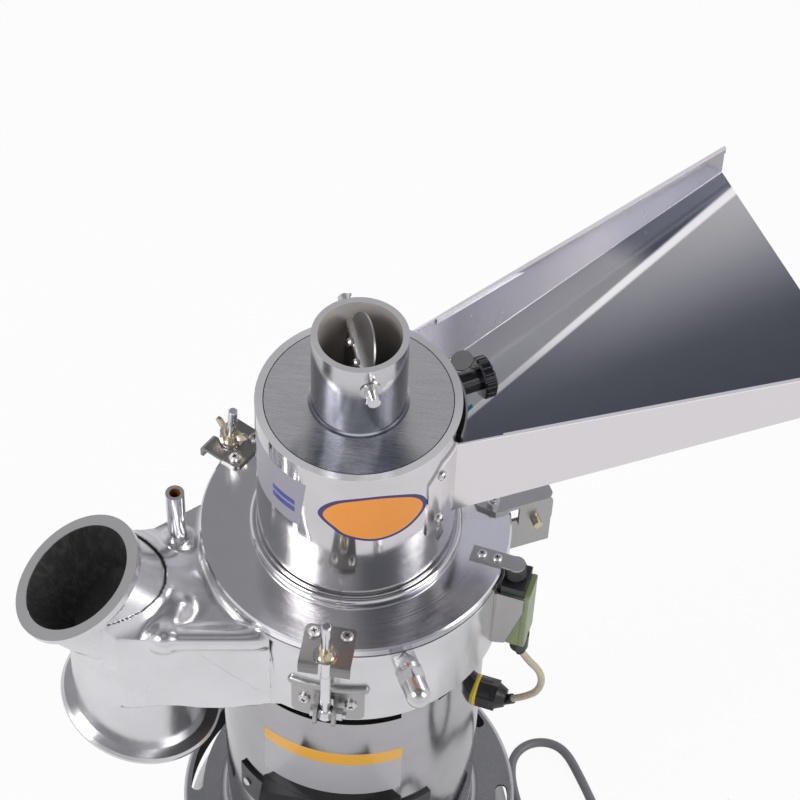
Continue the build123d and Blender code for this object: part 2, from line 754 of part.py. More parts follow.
def hammers():
    """Upright hammers around the disc, bevelled at their outer top corner."""
    z0 = DISC_Z0 + DISC_THICK
    z1 = z0 + HAMMER_HEIGHT
    points = [(HAMMER_R0, z0), (HAMMER_R1 - 2, z0), (HAMMER_R1 - 2, z1 - HAMMER_CHAMFER),
              (HAMMER_R1 - 2 - HAMMER_CHAMFER, z1), (HAMMER_R0 + HAMMER_CHAMFER, z1),
              (HAMMER_R0, z1 - HAMMER_CHAMFER)]
    block = side_plate(points, -HAMMER_THICK / 2, HAMMER_THICK / 2)
    block -= Pos(hammer_screw_u(), 0, 0) * rod(HAMMER_SCREW_R + SEAT_GAP, z0, z0 + HAMMER_SCREW_LENGTH)
    return group([at(a, block) for a in hammer_azimuths()])


def hammer_screws():
    """Screws from under the disc into the hammers."""
    one = Rot(180, 0, 0) * screw(HAMMER_SCREW_R, HAMMER_SCREW_LENGTH, HAMMER_SCREW_HEAD_R,
                                 HAMMER_SCREW_HEAD_H)
    one = Pos(hammer_screw_u(), 0, DISC_Z0) * one
    return group([at(a, one) for a in hammer_azimuths()])


def rotor_nut():
    """Nut that holds the disc on the shaft."""
    z0 = DISC_Z0 + DISC_THICK
    return hexagon(ROTOR_NUT_AF, z0, z0 + ROTOR_NUT_H) - rod(LOW_SHAFT_R + SEAT_GAP, z0 - 1, z0 + 50)


# Grinding chamber with its outlet


def outlet(part):
    """Place a piece drawn on the outlet's axes: x is d and y is n."""
    return Rot(0, 0, OUTLET_AZ) * part


def block_outline(inset, front):
    """Plan of the outlet's block, drawn in by a wall."""
    return [(BLOCK_INNER_D, BLOCK_BACK_N + inset), (BLOCK_BACK_D - inset / 4, BLOCK_BACK_N + inset),
            (BLOCK_CORNER_D - inset / 4, BLOCK_CORNER_N + inset), (BLOCK_END_D - inset, ELBOW_N),
            (BLOCK_END_D - inset, front - inset), (BLOCK_INNER_D, front - inset)]


def slanted_bore(radius, length, drop=0.0):
    """Slanted round tube core: a circle on the upper flange's plane, drawn along the tube's axis."""
    tilt = math.radians(FLANGE_TILT)
    slope = math.radians(UP_PIPE_SLOPE)
    centre = (FLANGE_D + drop * math.cos(tilt), FLANGE_N, FLANGE_Z - drop * math.sin(tilt))
    plane = Plane(origin=centre, x_dir=(0, 1, 0), z_dir=(math.sin(tilt), 0, math.cos(tilt)))
    along = (-math.cos(slope), 0, -math.sin(slope))
    return extrude(plane * Circle(radius), length, dir=along)


def flange_plane(offset=0.0):
    """Plane of the upper outlet's face, or one further in."""
    tilt = math.radians(FLANGE_TILT)
    normal = Vector(math.sin(tilt), 0, math.cos(tilt))
    centre = Vector(FLANGE_D, FLANGE_N, FLANGE_Z) - normal * offset
    return Plane(origin=centre, x_dir=(0, 1, 0), z_dir=normal)


def low_rim_plane():
    """Plane of the lower outlet's face."""
    tilt = math.radians(LOW_RIM_TILT)
    return Plane(origin=(LOW_RIM_D, ELBOW_N, LOW_RIM_Z), x_dir=(0, 1, 0),
                 z_dir=(-math.sin(tilt), 0, math.cos(tilt)))


def cone_to_rim(top_r, rim_r):
    """Vertical tube core that widens to the lower outlet's tilted face."""
    top = Plane(origin=(ELBOW_D, ELBOW_N, ELBOW_Z), x_dir=(0, 1, 0), z_dir=(0, 0, 1))
    return loft([low_rim_plane() * Circle(rim_r), top * Circle(top_r)])


def outlet_outer():
    """Outer form of the outlet: block, elbow, flared lower tube, slanted upper tube and its rail."""
    top_face = Pos(0, 0, BLOCK_TOP_Z) * polygon(block_outline(0, BLOCK_FRONT_N))
    low_face = Pos(0, 0, BLOCK_BOTTOM_Z) * polygon(block_outline(0, BLOCK_FRONT_N + BLOCK_FRONT_DRAFT))
    body = loft([low_face, top_face], ruled=True)
    body += cone_to_rim(ELBOW_R, LOW_PIPE_R)
    body += slanted_bore(UP_PIPE_R, UP_PIPE_LENGTH, UP_PIPE_DROP)
    body += flange_plane(FLANGE_THICK) * Cylinder(FLANGE_R, FLANGE_THICK, align=BOTTOM)
    rim = chamfer(Cylinder(LOW_RIM_R, LOW_RIM_THICK).edges(), LOW_RIM_THICK * 0.3)
    body += low_rim_plane() * rim
    rail = Pos(RAIL_START_D, BLOCK_FRONT_N, BLOCK_TOP_Z) * outward(
        Cylinder(RAIL_R, RAIL_BALL_D - RAIL_START_D, align=BOTTOM))
    body += rail + Pos(RAIL_START_D, BLOCK_FRONT_N, BLOCK_TOP_Z) * Sphere(RAIL_R)
    body += Pos(RAIL_BALL_D, BLOCK_FRONT_N, BLOCK_TOP_Z) * Sphere(RAIL_BALL_R)
    turn = math.degrees(math.atan2(LOBE_N - BLOCK_FRONT_N, LOBE_D - RAIL_BALL_D))
    reach = math.hypot(LOBE_N - BLOCK_FRONT_N, LOBE_D - RAIL_BALL_D)
    lobe = Rot(0, 0, turn) * outward(Cylinder(RAIL_R, reach, align=BOTTOM))
    body += Pos(RAIL_BALL_D, BLOCK_FRONT_N, BLOCK_TOP_Z) * lobe
    body += Pos(STUB_D, STUB_N, BLOCK_TOP_Z - 1) * Cone(STUB_BOSS_R, STUB_R + 1, STUB_BOSS_H + 1,
                                                        align=BOTTOM)
    return body


def outlet_inner():
    """Hollow of the outlet: channel from the chamber, lower bore and slanted upper bore."""
    channel = Pos(0, 0, CHANNEL_FLOOR_Z) * extrude(
        polygon(block_outline(BLOCK_WALL, BLOCK_FRONT_N)), CHANNEL_ROOF_Z - CHANNEL_FLOOR_Z)
    body = channel + cone_to_rim(ELBOW_BORE_R, LOW_BORE_R)
    body += Pos(ELBOW_D, ELBOW_N, 0) * rod(ELBOW_BORE_R, ELBOW_Z - 1, BORE_TOP_Z)
    body += low_rim_plane() * Cylinder(LOW_BORE_R, LOW_RIM_THICK + 2)
    body += slanted_bore(UP_BORE_R, UP_BORE_LENGTH)
    body += flange_plane() * Cylinder(UP_BORE_R, 1, align=BOTTOM)
    return body


def grinding_chamber():
    """Cast chamber, one piece with its bearing hub and its outlet."""
    floor = HOUSING_TOP_Z
    body = rod(CHAMBER_R, floor, CHAMBER_TOP_Z) + rod(RIM_R, CHAMBER_TOP_Z - RIM_H, CHAMBER_TOP_Z)
    body += rod(HUB_R, HUB_BOTTOM_Z, floor + 1)
    body += ring(HUB_R - 1, HOUSING_R - HOUSING_WALL - SEAT_GAP, floor, floor + 1)
    body += outlet(outlet_outer())
    body -= rod(CHAMBER_BORE_R, CHAMBER_FLOOR_Z, CHAMBER_TOP_Z + CUT_PAST)
    body -= outlet(outlet_inner())
    body -= rod(TOP_BEARING_R + SEAT_GAP, HUB_BOTTOM_Z - 1, top_bearing_z() + TOP_BEARING_W)
    body -= rod(TOP_SHAFT_R + 1, HUB_BOTTOM_Z, CHAMBER_FLOOR_Z + 1)
    body -= rod(SEAL_R + SEAT_GAP, CHAMBER_FLOOR_Z - SEAL_H, CHAMBER_FLOOR_Z + 1)
    for azimuth in window_azimuths():
        hole = rod(M6_R + SEAT_GAP, floor - 1, CHAMBER_FLOOR_Z + 1)
        hole += rod(M6_HEAD_R + SEAT_GAP, CHAMBER_FLOOR_Z - M6_HEAD_H - 1, CHAMBER_FLOOR_Z + 1)
        body -= at(azimuth, hole, u=LUG_CIRCLE_R)
    body -= outlet(Pos(STUB_D, STUB_N, 0) * rod(STUB_R + SEAT_GAP, BLOCK_TOP_Z - STUB_DEPTH,
                                                BLOCK_TOP_Z + STUB_BOSS_H + 1))
    body -= outlet(Pos(STUB_D, STUB_N, 0) * rod(STUB_BORE_R, CHANNEL_ROOF_Z - 1, BLOCK_TOP_Z))
    return body - wall_holes()


def wall_holes():
    """Screw and stud holes in the chamber's wall."""
    depth = CHAMBER_R - CHAMBER_BORE_R - 2
    small = outward(Cylinder(SMALL_SCREW_R + SEAT_GAP, depth, align=TOP))
    large = outward(Cylinder(M5_R + SEAT_GAP, depth, align=TOP))
    stud = outward(rod(STUD_R + SEAT_GAP, CHAMBER_R - depth, RIM_R + 1))
    holes = [at(STUD_AZ, stud, z=STUD_Z)]
    for azimuth in CLAMP_AZ:
        for side in (-1, 1):
            turn = azimuth + side * bracket_screw_half()
            holes.append(at(turn, large, u=CHAMBER_R, z=BRACKET_SCREW_Z))
    for side in (-1, 1):
        turn = HINGE_AZ + side * hinge_screw_half()
        holes.append(at(turn, large, u=CHAMBER_R, z=HINGE_SCREW_Z))
    for z in switch_screw_heights():
        holes.append(at(SWITCH_AZ, small, u=CHAMBER_R, z=z))
    return group(holes)


def pipe_stub():
    """Short open pipe pressed into the outlet's top."""
    pipe = ring(STUB_BORE_R, STUB_R, BLOCK_TOP_Z - STUB_DEPTH, STUB_TOP_Z)
    return outlet(Pos(STUB_D, STUB_N, 0) * pipe)


def chamber_bolts():
    """Bolts from the chamber's floor into the housing's lugs."""
    one = Pos(0, 0, CHAMBER_FLOOR_Z - M6_HEAD_H - 1) * screw(M6_R, CHAMBER_BOLT_LENGTH, M6_HEAD_R,
                                                             M6_HEAD_H)
    return group([at(a, one, u=LUG_CIRCLE_R) for a in window_azimuths()])


def shaft_seal():
    """Lip seal in the chamber's floor."""
    z0 = CHAMBER_FLOOR_Z - SEAL_H
    return ring(TOP_SHAFT_R + RUN_GAP, SEAL_R, z0, CHAMBER_FLOOR_Z)


def liner_ring():
    """Toothed wear ring in the chamber, open at the outlet."""
    outer = CHAMBER_BORE_R - SEAT_GAP
    inner = outer - LINER_THICK
    body = ring(inner, outer, CHAMBER_FLOOR_Z, LINER_TOP_Z)
    height = LINER_TOP_Z - CHAMBER_FLOOR_Z
    tooth = Pos(inner + 1, 0, CHAMBER_FLOOR_Z) * Box(2 * (LINER_TOOTH_DEPTH + 1), LINER_TOOTH_W, height,
                                                     align=BOTTOM)
    for i in range(LINER_TEETH):
        body += Rot(0, 0, i * 360 / LINER_TEETH) * tooth
    window = Pos(0, 0, CHANNEL_FLOOR_Z) * extrude(
        polygon(block_outline(BLOCK_WALL, BLOCK_FRONT_N)), LINER_TOP_Z)
    return body - outlet(window)


# Lid and feed drum


def lid_top_z():
    """Height of the lid's upper face."""
    return LID_BOTTOM_Z + LID_THICK


def lid_disc():
    """Lid with its centring spigot, rod notches, relief beside the plunger and tapped holes."""
    top = lid_top_z()
    disc = ring(LID_BORE_R, LID_R, LID_BOTTOM_Z, top)
    disc = chamfer(disc.edges().filter_by(GeomType.CIRCLE).group_by(Axis.Z)[-1].sort_by(SortBy.RADIUS)[-1:],
                   LID_CHAMFER)
    disc += ring(SPIGOT_R - SPIGOT_WALL, SPIGOT_R, LID_BOTTOM_Z - SPIGOT_H, LID_BOTTOM_Z)
    for azimuth in CLAMP_AZ:
        notch = rod(NOTCH_W / 2, LID_BOTTOM_Z - 1, top + 1)
        notch += Pos(NOTCH_W / 2, 0, LID_BOTTOM_Z - 1) * Box(NOTCH_W, NOTCH_W, LID_THICK + 2, align=BOTTOM)
        disc -= at(azimuth, notch, u=NOTCH_R)
    disc -= at(SWITCH_AZ, rod(PLUNGER_R + PLUNGER_RELIEF, LID_BOTTOM_Z - 1, top + 1), u=TAB_END_U)
    for azimuth, u, v, radius in lid_hole_places():
        disc -= at(azimuth, rod(radius + SEAT_GAP, LID_BOTTOM_Z + 1, top + 1), u=u, v=v)
    return disc


def lid_hole_places():
    """Azimuth, place and radius of each tapped hole in the lid."""
    places = [(a, CLAMP_SCREW_U, s * CLAMP_SCREW_V, M5_R) for a in CLAMP_AZ for s in (-1, 1)]
    places += [(HINGE_AZ, LEAF_BOLT_U, s * LEAF_BOLT_V, M6_R) for s in (-1, 1)]
    places += [(SWITCH_AZ, u, 0, SMALL_SCREW_R) for u in TAB_SCREW_U]
    return places


def lid_gasket():
    """Flat rubber ring between the lid and the chamber's rim."""
    return ring(GASKET_R0, GASKET_R1, CHAMBER_TOP_Z, LID_BOTTOM_Z)


def tooth_ring():
    """Fixed ring of teeth under the lid."""
    z1 = LID_BOTTOM_Z
    body = ring(TOOTH_RING_R0, TOOTH_RING_R1, z1 - TOOTH_RING_H, z1)
    width = TOOTH_RING_R1 - TOOTH_RING_R0
    tooth = Pos((TOOTH_RING_R0 + TOOTH_RING_R1) / 2, 0, z1 - TOOTH_RING_H - TOOTH_H) * Box(
        width - 3, TOOTH_W, TOOTH_H + 1, align=BOTTOM)
    for i in range(TOOTH_COUNT):
        body += Rot(0, 0, i * 360 / TOOTH_COUNT) * tooth
    return body


def feed_drum():
    """Rolled drum with a beaded foot, a folded upper edge and the feed opening."""
    z0 = lid_top_z()
    bore = DRUM_R - DRUM_WALL
    seat = DRUM_TOP_Z - COVER_THICK
    drum = turned([(bore, z0), (DRUM_R, z0), (DRUM_R, DRUM_TOP_Z), (DRUM_LIP_R + SEAT_GAP, DRUM_TOP_Z),
                   (DRUM_LIP_R + SEAT_GAP, seat), (DRUM_LIP_R - 4, seat), (DRUM_LIP_R - 4, seat - DRUM_WALL),
                   (bore, seat - DRUM_WALL)])
    drum += Pos(0, 0, z0 + DRUM_BEAD_R) * Torus(DRUM_BEAD_CENTRE_R, DRUM_BEAD_R)
    drum += ring(bore, DRUM_BEAD_CENTRE_R, z0, z0 + DRUM_BEAD_R)
    drum -= sector(bore - 8, DRUM_R + 5, DRUM_OPENING_HALF, DRUM_OPENING_Z0, DRUM_OPENING_Z1, HOPPER_AZ)
    for side in (-1, 1):
        for z in EAR_SCREW_Z:
            hole = outward(Cylinder(SMALL_SCREW_R + SEAT_GAP, 4 * DRUM_WALL))
            drum -= at(HOPPER_AZ + side * EAR_SCREW_HALF, hole, u=DRUM_R, z=z)
    return drum + gate_stud()


def gate_stud():
    """Stud on the drum with a collar behind the gate."""
    root = DRUM_R - DRUM_WALL / 2
    collar_end = math.sqrt(GATE_R ** 2 - KNOB_COLLAR_R ** 2) - SEAT_GAP
    body = outward(rod(KNOB_STUD_R, root, KNOB_HUB_END) + rod(KNOB_COLLAR_R, root, collar_end))
    return at(HOPPER_AZ, body, z=KNOB_Z)


def drum_cover():
    """Round cover plate in the drum's folded edge."""
    return ring(NECK_BORE_R, DRUM_LIP_R, DRUM_TOP_Z - COVER_THICK, DRUM_TOP_Z)


def feed_neck():
    """Neck tube with its weld at the foot and the damper's holes."""
    neck = turned([(NECK_BORE_R, DRUM_TOP_Z), (NECK_R + NECK_WELD, DRUM_TOP_Z),
                   (NECK_R + 0.35 * NECK_WELD, DRUM_TOP_Z + 0.35 * NECK_WELD),
                   (NECK_R, DRUM_TOP_Z + NECK_WELD), (NECK_R, NECK_TOP_Z), (NECK_BORE_R, NECK_TOP_Z)])
    hole = outward(Cylinder(DAMPER_AXLE_R + RUN_GAP, 3 * NECK_R))
    return neck - at(DAMPER_AZ, hole, z=DAMPER_Z)


# Damper


def damper(part):
    """Place a piece drawn along X with the disc's face in the vertical plane."""
    return at(DAMPER_AZ, Rot(-DAMPER_TILT, 0, 0) * part, z=DAMPER_Z)


def damper_disc():
    """Round disc in the axle's slot."""
    disc = Rot(90, 0, 0) * Cylinder(DAMPER_DISC_R, DAMPER_DISC_THICK)
    for u in damper_screw_places():
        disc -= Pos(u, 0, 0) * Rot(90, 0, 0) * Cylinder(DAMPER_SCREW_R + SEAT_GAP, 3 * DAMPER_DISC_THICK)
    return damper(disc)


def damper_screw_places():
    """Places of the damper's screws along the axle."""
    return [-DAMPER_DISC_R / 3, DAMPER_DISC_R / 3]


def damper_axle():
    """Axle with a slot for the disc and a pin hole at each end."""
    axle = Pos(-DAMPER_REAR, 0, 0) * outward(Cylinder(DAMPER_AXLE_R, DAMPER_FRONT + DAMPER_REAR,
                                                      align=BOTTOM))
    axle -= Box(2 * NECK_BORE_R - 2, DAMPER_DISC_THICK, 3 * DAMPER_AXLE_R)
    for u in damper_screw_places():
        axle -= Pos(u, 0, 0) * Rot(90, 0, 0) * Cylinder(DAMPER_SCREW_R + SEAT_GAP, 3 * DAMPER_AXLE_R)
    for u in damper_pin_places():
        axle -= Pos(u, 0, 0) * Cylinder(DAMPER_PIN_R + SEAT_GAP, 3 * DAMPER_AXLE_R)
    return damper(axle)


def damper_pin_places():
    """Places of the split pins along the axle, front and rear."""
    return [NECK_R + DAMPER_WASHER_THICK + DAMPER_PIN_R + 3 * SEAT_GAP, DAMPER_PIN_INSET - DAMPER_REAR]


def damper_screws():
    """Screws through the disc and the axle."""
    one = Rot(90, 0, 0) * screw(DAMPER_SCREW_R, 2 * DAMPER_AXLE_R, DAMPER_SCREW_HEAD_R, M5_HEAD_H)
    return group([damper(Pos(u, -DAMPER_AXLE_R, 0) * one) for u in damper_screw_places()])


def damper_pins():
    """Split pins that keep the axle in the neck, and the front washer."""
    front, rear = damper_pin_places()
    length = 2.4 * DAMPER_AXLE_R
    pins = [Pos(front, 0, 0) * Cylinder(DAMPER_PIN_R, 2 * length), Pos(rear, 0, 0) * Cylinder(
        DAMPER_PIN_R, 2 * length)]
    washer = ring(DAMPER_AXLE_R + SEAT_GAP, DAMPER_WASHER_R, 0, DAMPER_WASHER_THICK)
    pins.append(Pos(NECK_R + 2 * SEAT_GAP, 0, 0) * outward(washer))
    return group([damper(pin) for pin in pins])


# Hopper


def inner_points(points, thickness):
    """Corners of an open sheet section, moved to the right of its path by the thickness."""
    moved = []
    for i, point in enumerate(points):
        here = Vector(*point)
        before = (here - Vector(*points[i - 1])).normalized() if i > 0 else None
        after = (Vector(*points[i + 1]) - here).normalized() if i < len(points) - 1 else None
        along = [d for d in (before, after) if d is not None]
        normals = [Vector(-d.Y, d.X) for d in along]
        middle = sum(normals[1:], normals[0]).normalized()
        moved.append(here + middle * (thickness / middle.dot(normals[0])))
    return [(p.X, p.Y) for p in moved]


def section_at(u, points):
    """Closed face across the hopper at u, from a list of (v, z)."""
    return make_face(Polyline(*[(u, v, z) for v, z in points], close=True))


def between(near, far, u):
    """Section points at u, on the straight lines from the near to the far section."""
    t = (u - HOPPER_NEAR_U) / (HOPPER_FAR_U - HOPPER_NEAR_U)
    return [(a[0] + t * (b[0] - a[0]), a[1] + t * (b[1] - a[1])) for a, b in zip(near, far)]


def folded_sheet(near, far, u0, u1, thickness):
    """Sheet of one thickness between two sections of equal corners."""
    faces = []
    for u in (u0, u1):
        outer = between(near, far, u)
        faces.append(section_at(u, outer + inner_points(outer, thickness)[::-1]))
    return loft(faces, ruled=True)


def hem(side):
    """Double edge along the top of a side wall, on its inner face."""
    def strip(points):
        top = points[0] if side < 0 else points[-1]
        below = points[1] if side < 0 else points[-2]
        down = (Vector(*below) - Vector(*top)).normalized() * HEM_H
        inward = Vector(-side, 0) * SHEET
        start = Vector(*top) + inward
        corners = [start, start + down, start + down + inward, start + inward]
        return [(c.X, c.Y) for c in corners]
    near = strip(HOPPER_NEAR)
    far = strip(HOPPER_FAR)
    faces = [section_at(u, between(near, far, u)) for u in (HEM_START_U, HOPPER_FAR_U)]
    return loft(faces, ruled=True)


def hopper():
    """Folded feed hopper with its hems and the two ears that wrap round the drum."""
    walls = folded_sheet(HOPPER_NEAR, HOPPER_FAR, HOPPER_NEAR_U - 14, HOPPER_FAR_U, SHEET)
    inner = DRUM_R + SEAT_GAP
    walls -= rod(inner, 0, 2 * DRUM_TOP_Z)
    left = HOPPER_NEAR[1][0] + SHEET + HOLE_GAP
    right = HOPPER_NEAR[3][0] - HOLE_GAP
    inside = Pos(0, left, 0) * Box(HOPPER_FLOOR_R, right - left, 2 * DRUM_TOP_Z,
                                   align=(Align.MIN, Align.MIN, Align.CENTER))
    floor_z = HOPPER_NEAR[3][1] + 3 * SHEET
    walls -= rod(HOPPER_FLOOR_R, HOPPER_NEAR[1][1] - 30, floor_z) & inside
    walls += hem(-1) + hem(1)
    for side in (-1, 1):
        middle = side * (EAR_HALF_0 + EAR_HALF_1) / 2
        ear = sector(inner, inner + SHEET, (EAR_HALF_1 - EAR_HALF_0) / 2, EAR_Z0, EAR_Z1, middle)
        cut = Rot(0, 0, side * EAR_HALF_1) * Pos(DRUM_R, 0, EAR_Z1) * Rot(45, 0, 0) * Box(
            20, EAR_CHAMFER * 1.414, EAR_CHAMFER * 1.414)
        walls += ear - cut
        for z in EAR_SCREW_Z:
            hole = outward(Cylinder(SMALL_SCREW_R + SEAT_GAP, 6 * SHEET))
            walls -= at(side * EAR_SCREW_HALF, hole, u=DRUM_R, z=z)
    return Rot(0, 0, HOPPER_AZ) * walls


def hopper_screws():
    """Screws through the hopper's ears into the drum."""
    head_seat = DRUM_R + SEAT_GAP + SHEET
    one = outward(screw(SMALL_SCREW_R, SHEET + DRUM_WALL + 3, SMALL_HEAD_R, SMALL_HEAD_H))
    places = [(side * EAR_SCREW_HALF, z) for side in (-1, 1) for z in EAR_SCREW_Z]
    return group([at(HOPPER_AZ + a, one, u=head_seat + SEAT_GAP, z=z) for a, z in places])


def gate_plate():
    """Curved gate with a long slot and a dished finger tab."""
    plate = sector(GATE_R, GATE_R + SHEET, GATE_HALF, GATE_Z0, GATE_Z1)
    slot = Pos(GATE_R, 0, KNOB_Z - GATE_LIFT / 2) * Rot(0, 90, 0) * extrude(
        SlotCenterToCenter(GATE_LIFT, GATE_SLOT_W), 10, both=True)
    plate -= slot
    tab_turn = GATE_TAB_AZ - HOPPER_AZ
    tab = Cylinder(GATE_TAB_R, SHEET)
    tab = Pos(GATE_TAB_CENTRE, 0, GATE_Z1 + GATE_TAB_RISE) * Rot(0, -GATE_TAB_TILT, 0) * tab
    tab -= rod(GATE_R + SHEET / 2, 0, 2 * DRUM_TOP_Z)
    return Rot(0, 0, HOPPER_AZ) * (plate + Rot(0, 0, tab_turn) * tab)


def knob_seat():
    """Radius at which the knob's washer rests on the gate."""
    return GATE_R + SHEET + SEAT_GAP


def knob_washer():
    """Washer between the knob and the gate."""
    washer = outward(ring(KNOB_STUD_R + RUN_GAP, KNOB_WASHER_R, 0, WASHER_THICK))
    return at(HOPPER_AZ, washer, u=knob_seat(), z=KNOB_Z)


def clamp_knob():
    """Fluted knob that clamps the gate."""
    start = knob_seat() + WASHER_THICK
    length = KNOB_END - start
    head = KNOB_HUB_END - start
    knob = turned([(KNOB_STUD_R + RUN_GAP, 0), (KNOB_HUB_R, 0), (KNOB_HUB_R, head),
                   (KNOB_HEAD_R - 1.5, head), (KNOB_HEAD_R, head + 1.5), (KNOB_HEAD_R, length - 2),
                   (KNOB_HEAD_R - 3, length), (0, length), (0, length - 8),
                   (KNOB_STUD_R + RUN_GAP, length - 8)])
    for i in range(KNOB_FLUTES):
        knob -= Rot(0, 0, i * 360 / KNOB_FLUTES) * Pos(KNOB_HEAD_R + 0.4, 0, head - 1) * Cylinder(
            KNOB_FLUTE_R, length, align=BOTTOM)
    return at(HOPPER_AZ, outward(knob), u=start, z=KNOB_Z)


# Lid clamps


def bracket_screw_half():
    """Angle from a clamp's azimuth to its bracket's screws."""
    return math.degrees(math.asin(BRACKET_SCREW_V / CHAMBER_R))


def clamp_plate():
    """Slotted plate with its outer edge folded down, on local axes."""
    z0 = lid_top_z()
    z1 = z0 + CLAMP_PLATE_THICK
    inner_fold = CLAMP_PLATE_R1 - CLAMP_PLATE_THICK
    section = side_plate([(CLAMP_PLATE_R0, z0), (inner_fold - 3, z0), (inner_fold, z0 - 3),
                          (inner_fold, z1 - CLAMP_LIP_H), (CLAMP_PLATE_R1, z1 - CLAMP_LIP_H),
                          (CLAMP_PLATE_R1, z1 - 4), (CLAMP_PLATE_R1 - 1.2, z1 - 1.2),
                          (CLAMP_PLATE_R1 - 4, z1), (CLAMP_PLATE_R0, z1)],
                         -CLAMP_PLATE_HALF, CLAMP_PLATE_HALF)
    length = CLAMP_PLATE_R1 - CLAMP_PLATE_R0
    plan = Pos((CLAMP_PLATE_R0 + CLAMP_PLATE_R1) / 2, 0) * Rectangle(length + 1, 2 * CLAMP_PLATE_HALF)
    corners = plan.vertices().sort_by(Axis.X)[:2]
    plan = fillet(corners, CLAMP_CORNER)
    plan -= Pos(CLAMP_SLOT_R, 0) * Circle(CLAMP_SLOT_W / 2)
    plan -= Pos(CLAMP_SLOT_R, 0) * Rectangle(CUT_PAST, CLAMP_SLOT_W, align=(Align.MIN, Align.CENTER))
    plate = section & (Pos(0, 0, z0 - 40) * extrude(plan, 80))
    for side in (-1, 1):
        plate -= Pos(CLAMP_SCREW_U, side * CLAMP_SCREW_V, 0) * rod(M5_R + SEAT_GAP, z0 - 1, z1 + 1)
    return plate


def clamp_plates():
    """Both clamps' plates on the lid."""
    return group([at(azimuth, clamp_plate()) for azimuth in CLAMP_AZ])


def clamp_screws():
    """Screws of the clamp plates."""
    one = screw(M5_R, CLAMP_PLATE_THICK + LID_THICK - 2, M5_HEAD_R, M5_HEAD_H)
    z = lid_top_z() + CLAMP_PLATE_THICK
    places = [(a, s * CLAMP_SCREW_V) for a in CLAMP_AZ for s in (-1, 1)]
    return group([at(a, one, u=CLAMP_SCREW_U, v=v, z=z) for a, v in places])


def clamp_bracket():
    """Bracket on the chamber's wall: two pads, a rounded rail and two ears, on local axes."""
    inner = CHAMBER_R + SEAT_GAP
    half = math.degrees(math.asin(BRACKET_HALF / CHAMBER_R))
    gap = math.degrees(math.asin(BRACKET_GAP / 2 / CHAMBER_R))
    body = sector(inner, inner + BRACKET_THICK, half, BRACKET_Z0, BRACKET_Z1)
    corners = body.edges().filter_by(GeomType.LINE).filter_by(
        lambda e: abs(e.length - BRACKET_THICK) < SEAT_GAP and e.center().Z < BRACKET_Z0 + SEAT_GAP)
    body = fillet(corners, BRACKET_CORNER)
    body -= sector(inner - 1, inner + BRACKET_THICK + 1, gap, BRACKET_Z0 - 1, BRACKET_Z1 - 12)
    rail_u = inner + SEAT_GAP
    path = CenterArc((0, 0, BRACKET_Z1), rail_u, -half, 2 * half)
    rail = sweep(Plane(origin=path @ 0, z_dir=path % 0) * Circle(BRACKET_RAIL_R), path=path)
    for end in (0, 1):
        rail += Pos(*(path @ end)) * Sphere(BRACKET_RAIL_R)
    body += rail - rod(inner, BRACKET_Z0, BRACKET_Z1 + 20)
    ear_v = EYE_HALF + MOVE_GAP
    points = [(inner + 1, BRACKET_Z0 + 2), (PIVOT_U, PIVOT_Z - EAR_R), (PIVOT_U, PIVOT_Z + EAR_R),
              (inner + 1, BRACKET_Z1 - 6)]
    for side in (-1, 1):
        v0 = side * ear_v if side > 0 else -ear_v - EAR_THICK
        ear = side_plate(points, v0, v0 + EAR_THICK)
        boss = Pos(PIVOT_U, v0 + EAR_THICK / 2, PIVOT_Z) * Rot(90, 0, 0) * Cylinder(EAR_R, EAR_THICK)
        body += ear + boss
    body -= Pos(PIVOT_U, 0, PIVOT_Z) * Rot(90, 0, 0) * Cylinder(PIVOT_R + SEAT_GAP, CUT_PAST)
    for side in (-1, 1):
        hole = outward(Cylinder(M5_R + SEAT_GAP, 30))
        body -= at(side * bracket_screw_half(), hole, u=inner, z=BRACKET_SCREW_Z)
    return body


def clamp_brackets():
    """Both clamps' brackets."""
    return group([at(azimuth, clamp_bracket()) for azimuth in CLAMP_AZ])


def bracket_screws():
    """Screws of the clamp brackets and of the hinge bracket."""
    seat = CHAMBER_R + 2 * SEAT_GAP + BRACKET_THICK
    one = outward(screw(M5_R, BRACKET_THICK + 7, M5_HEAD_R, M5_HEAD_H))
    parts = [at(a + s * bracket_screw_half(), one, u=seat, z=BRACKET_SCREW_Z)
             for a in CLAMP_AZ for s in (-1, 1)]
    parts += [at(HINGE_AZ + s * hinge_screw_half(), one, u=seat, z=HINGE_SCREW_Z) for s in (-1, 1)]
    return group(parts)


def pivot_pins():
    """Pivot pins of the swing bolts, headed on one side."""
    half = EYE_HALF + MOVE_GAP + EAR_THICK
    pin = Cylinder(PIVOT_R, 2 * half + PIVOT_NUT_H + 3)
    pin = Pos(0, 0, (PIVOT_NUT_H + 3) / 2) * pin
    pin += Pos(0, 0, -half - 1.6 - SEAT_GAP) * Cylinder(PIVOT_R + 2, 3)
    pin = Pos(PIVOT_U, 0, PIVOT_Z) * Rot(-90, 0, 0) * pin
    return group([at(azimuth, pin) for azimuth in CLAMP_AZ])


def pivot_nuts():
    """Nuts on the pivot pins."""
    start = EYE_HALF + MOVE_GAP + EAR_THICK + SEAT_GAP
    nut = hexagon(PIVOT_NUT_AF, start, start + PIVOT_NUT_H) - rod(PIVOT_R + SEAT_GAP, 0, 40)
    nut = Pos(PIVOT_U, 0, PIVOT_Z) * Rot(-90, 0, 0) * nut
    return group([at(azimuth, nut) for azimuth in CLAMP_AZ])


def clamp_rod(index, part):
    """Place a piece drawn with the pivot at its origin and the rod along Z."""
    lean = Rot(0, -CLAMP_LEAN[index], 0)
    return at(CLAMP_AZ[index], Pos(PIVOT_U, 0, PIVOT_Z) * lean * part)


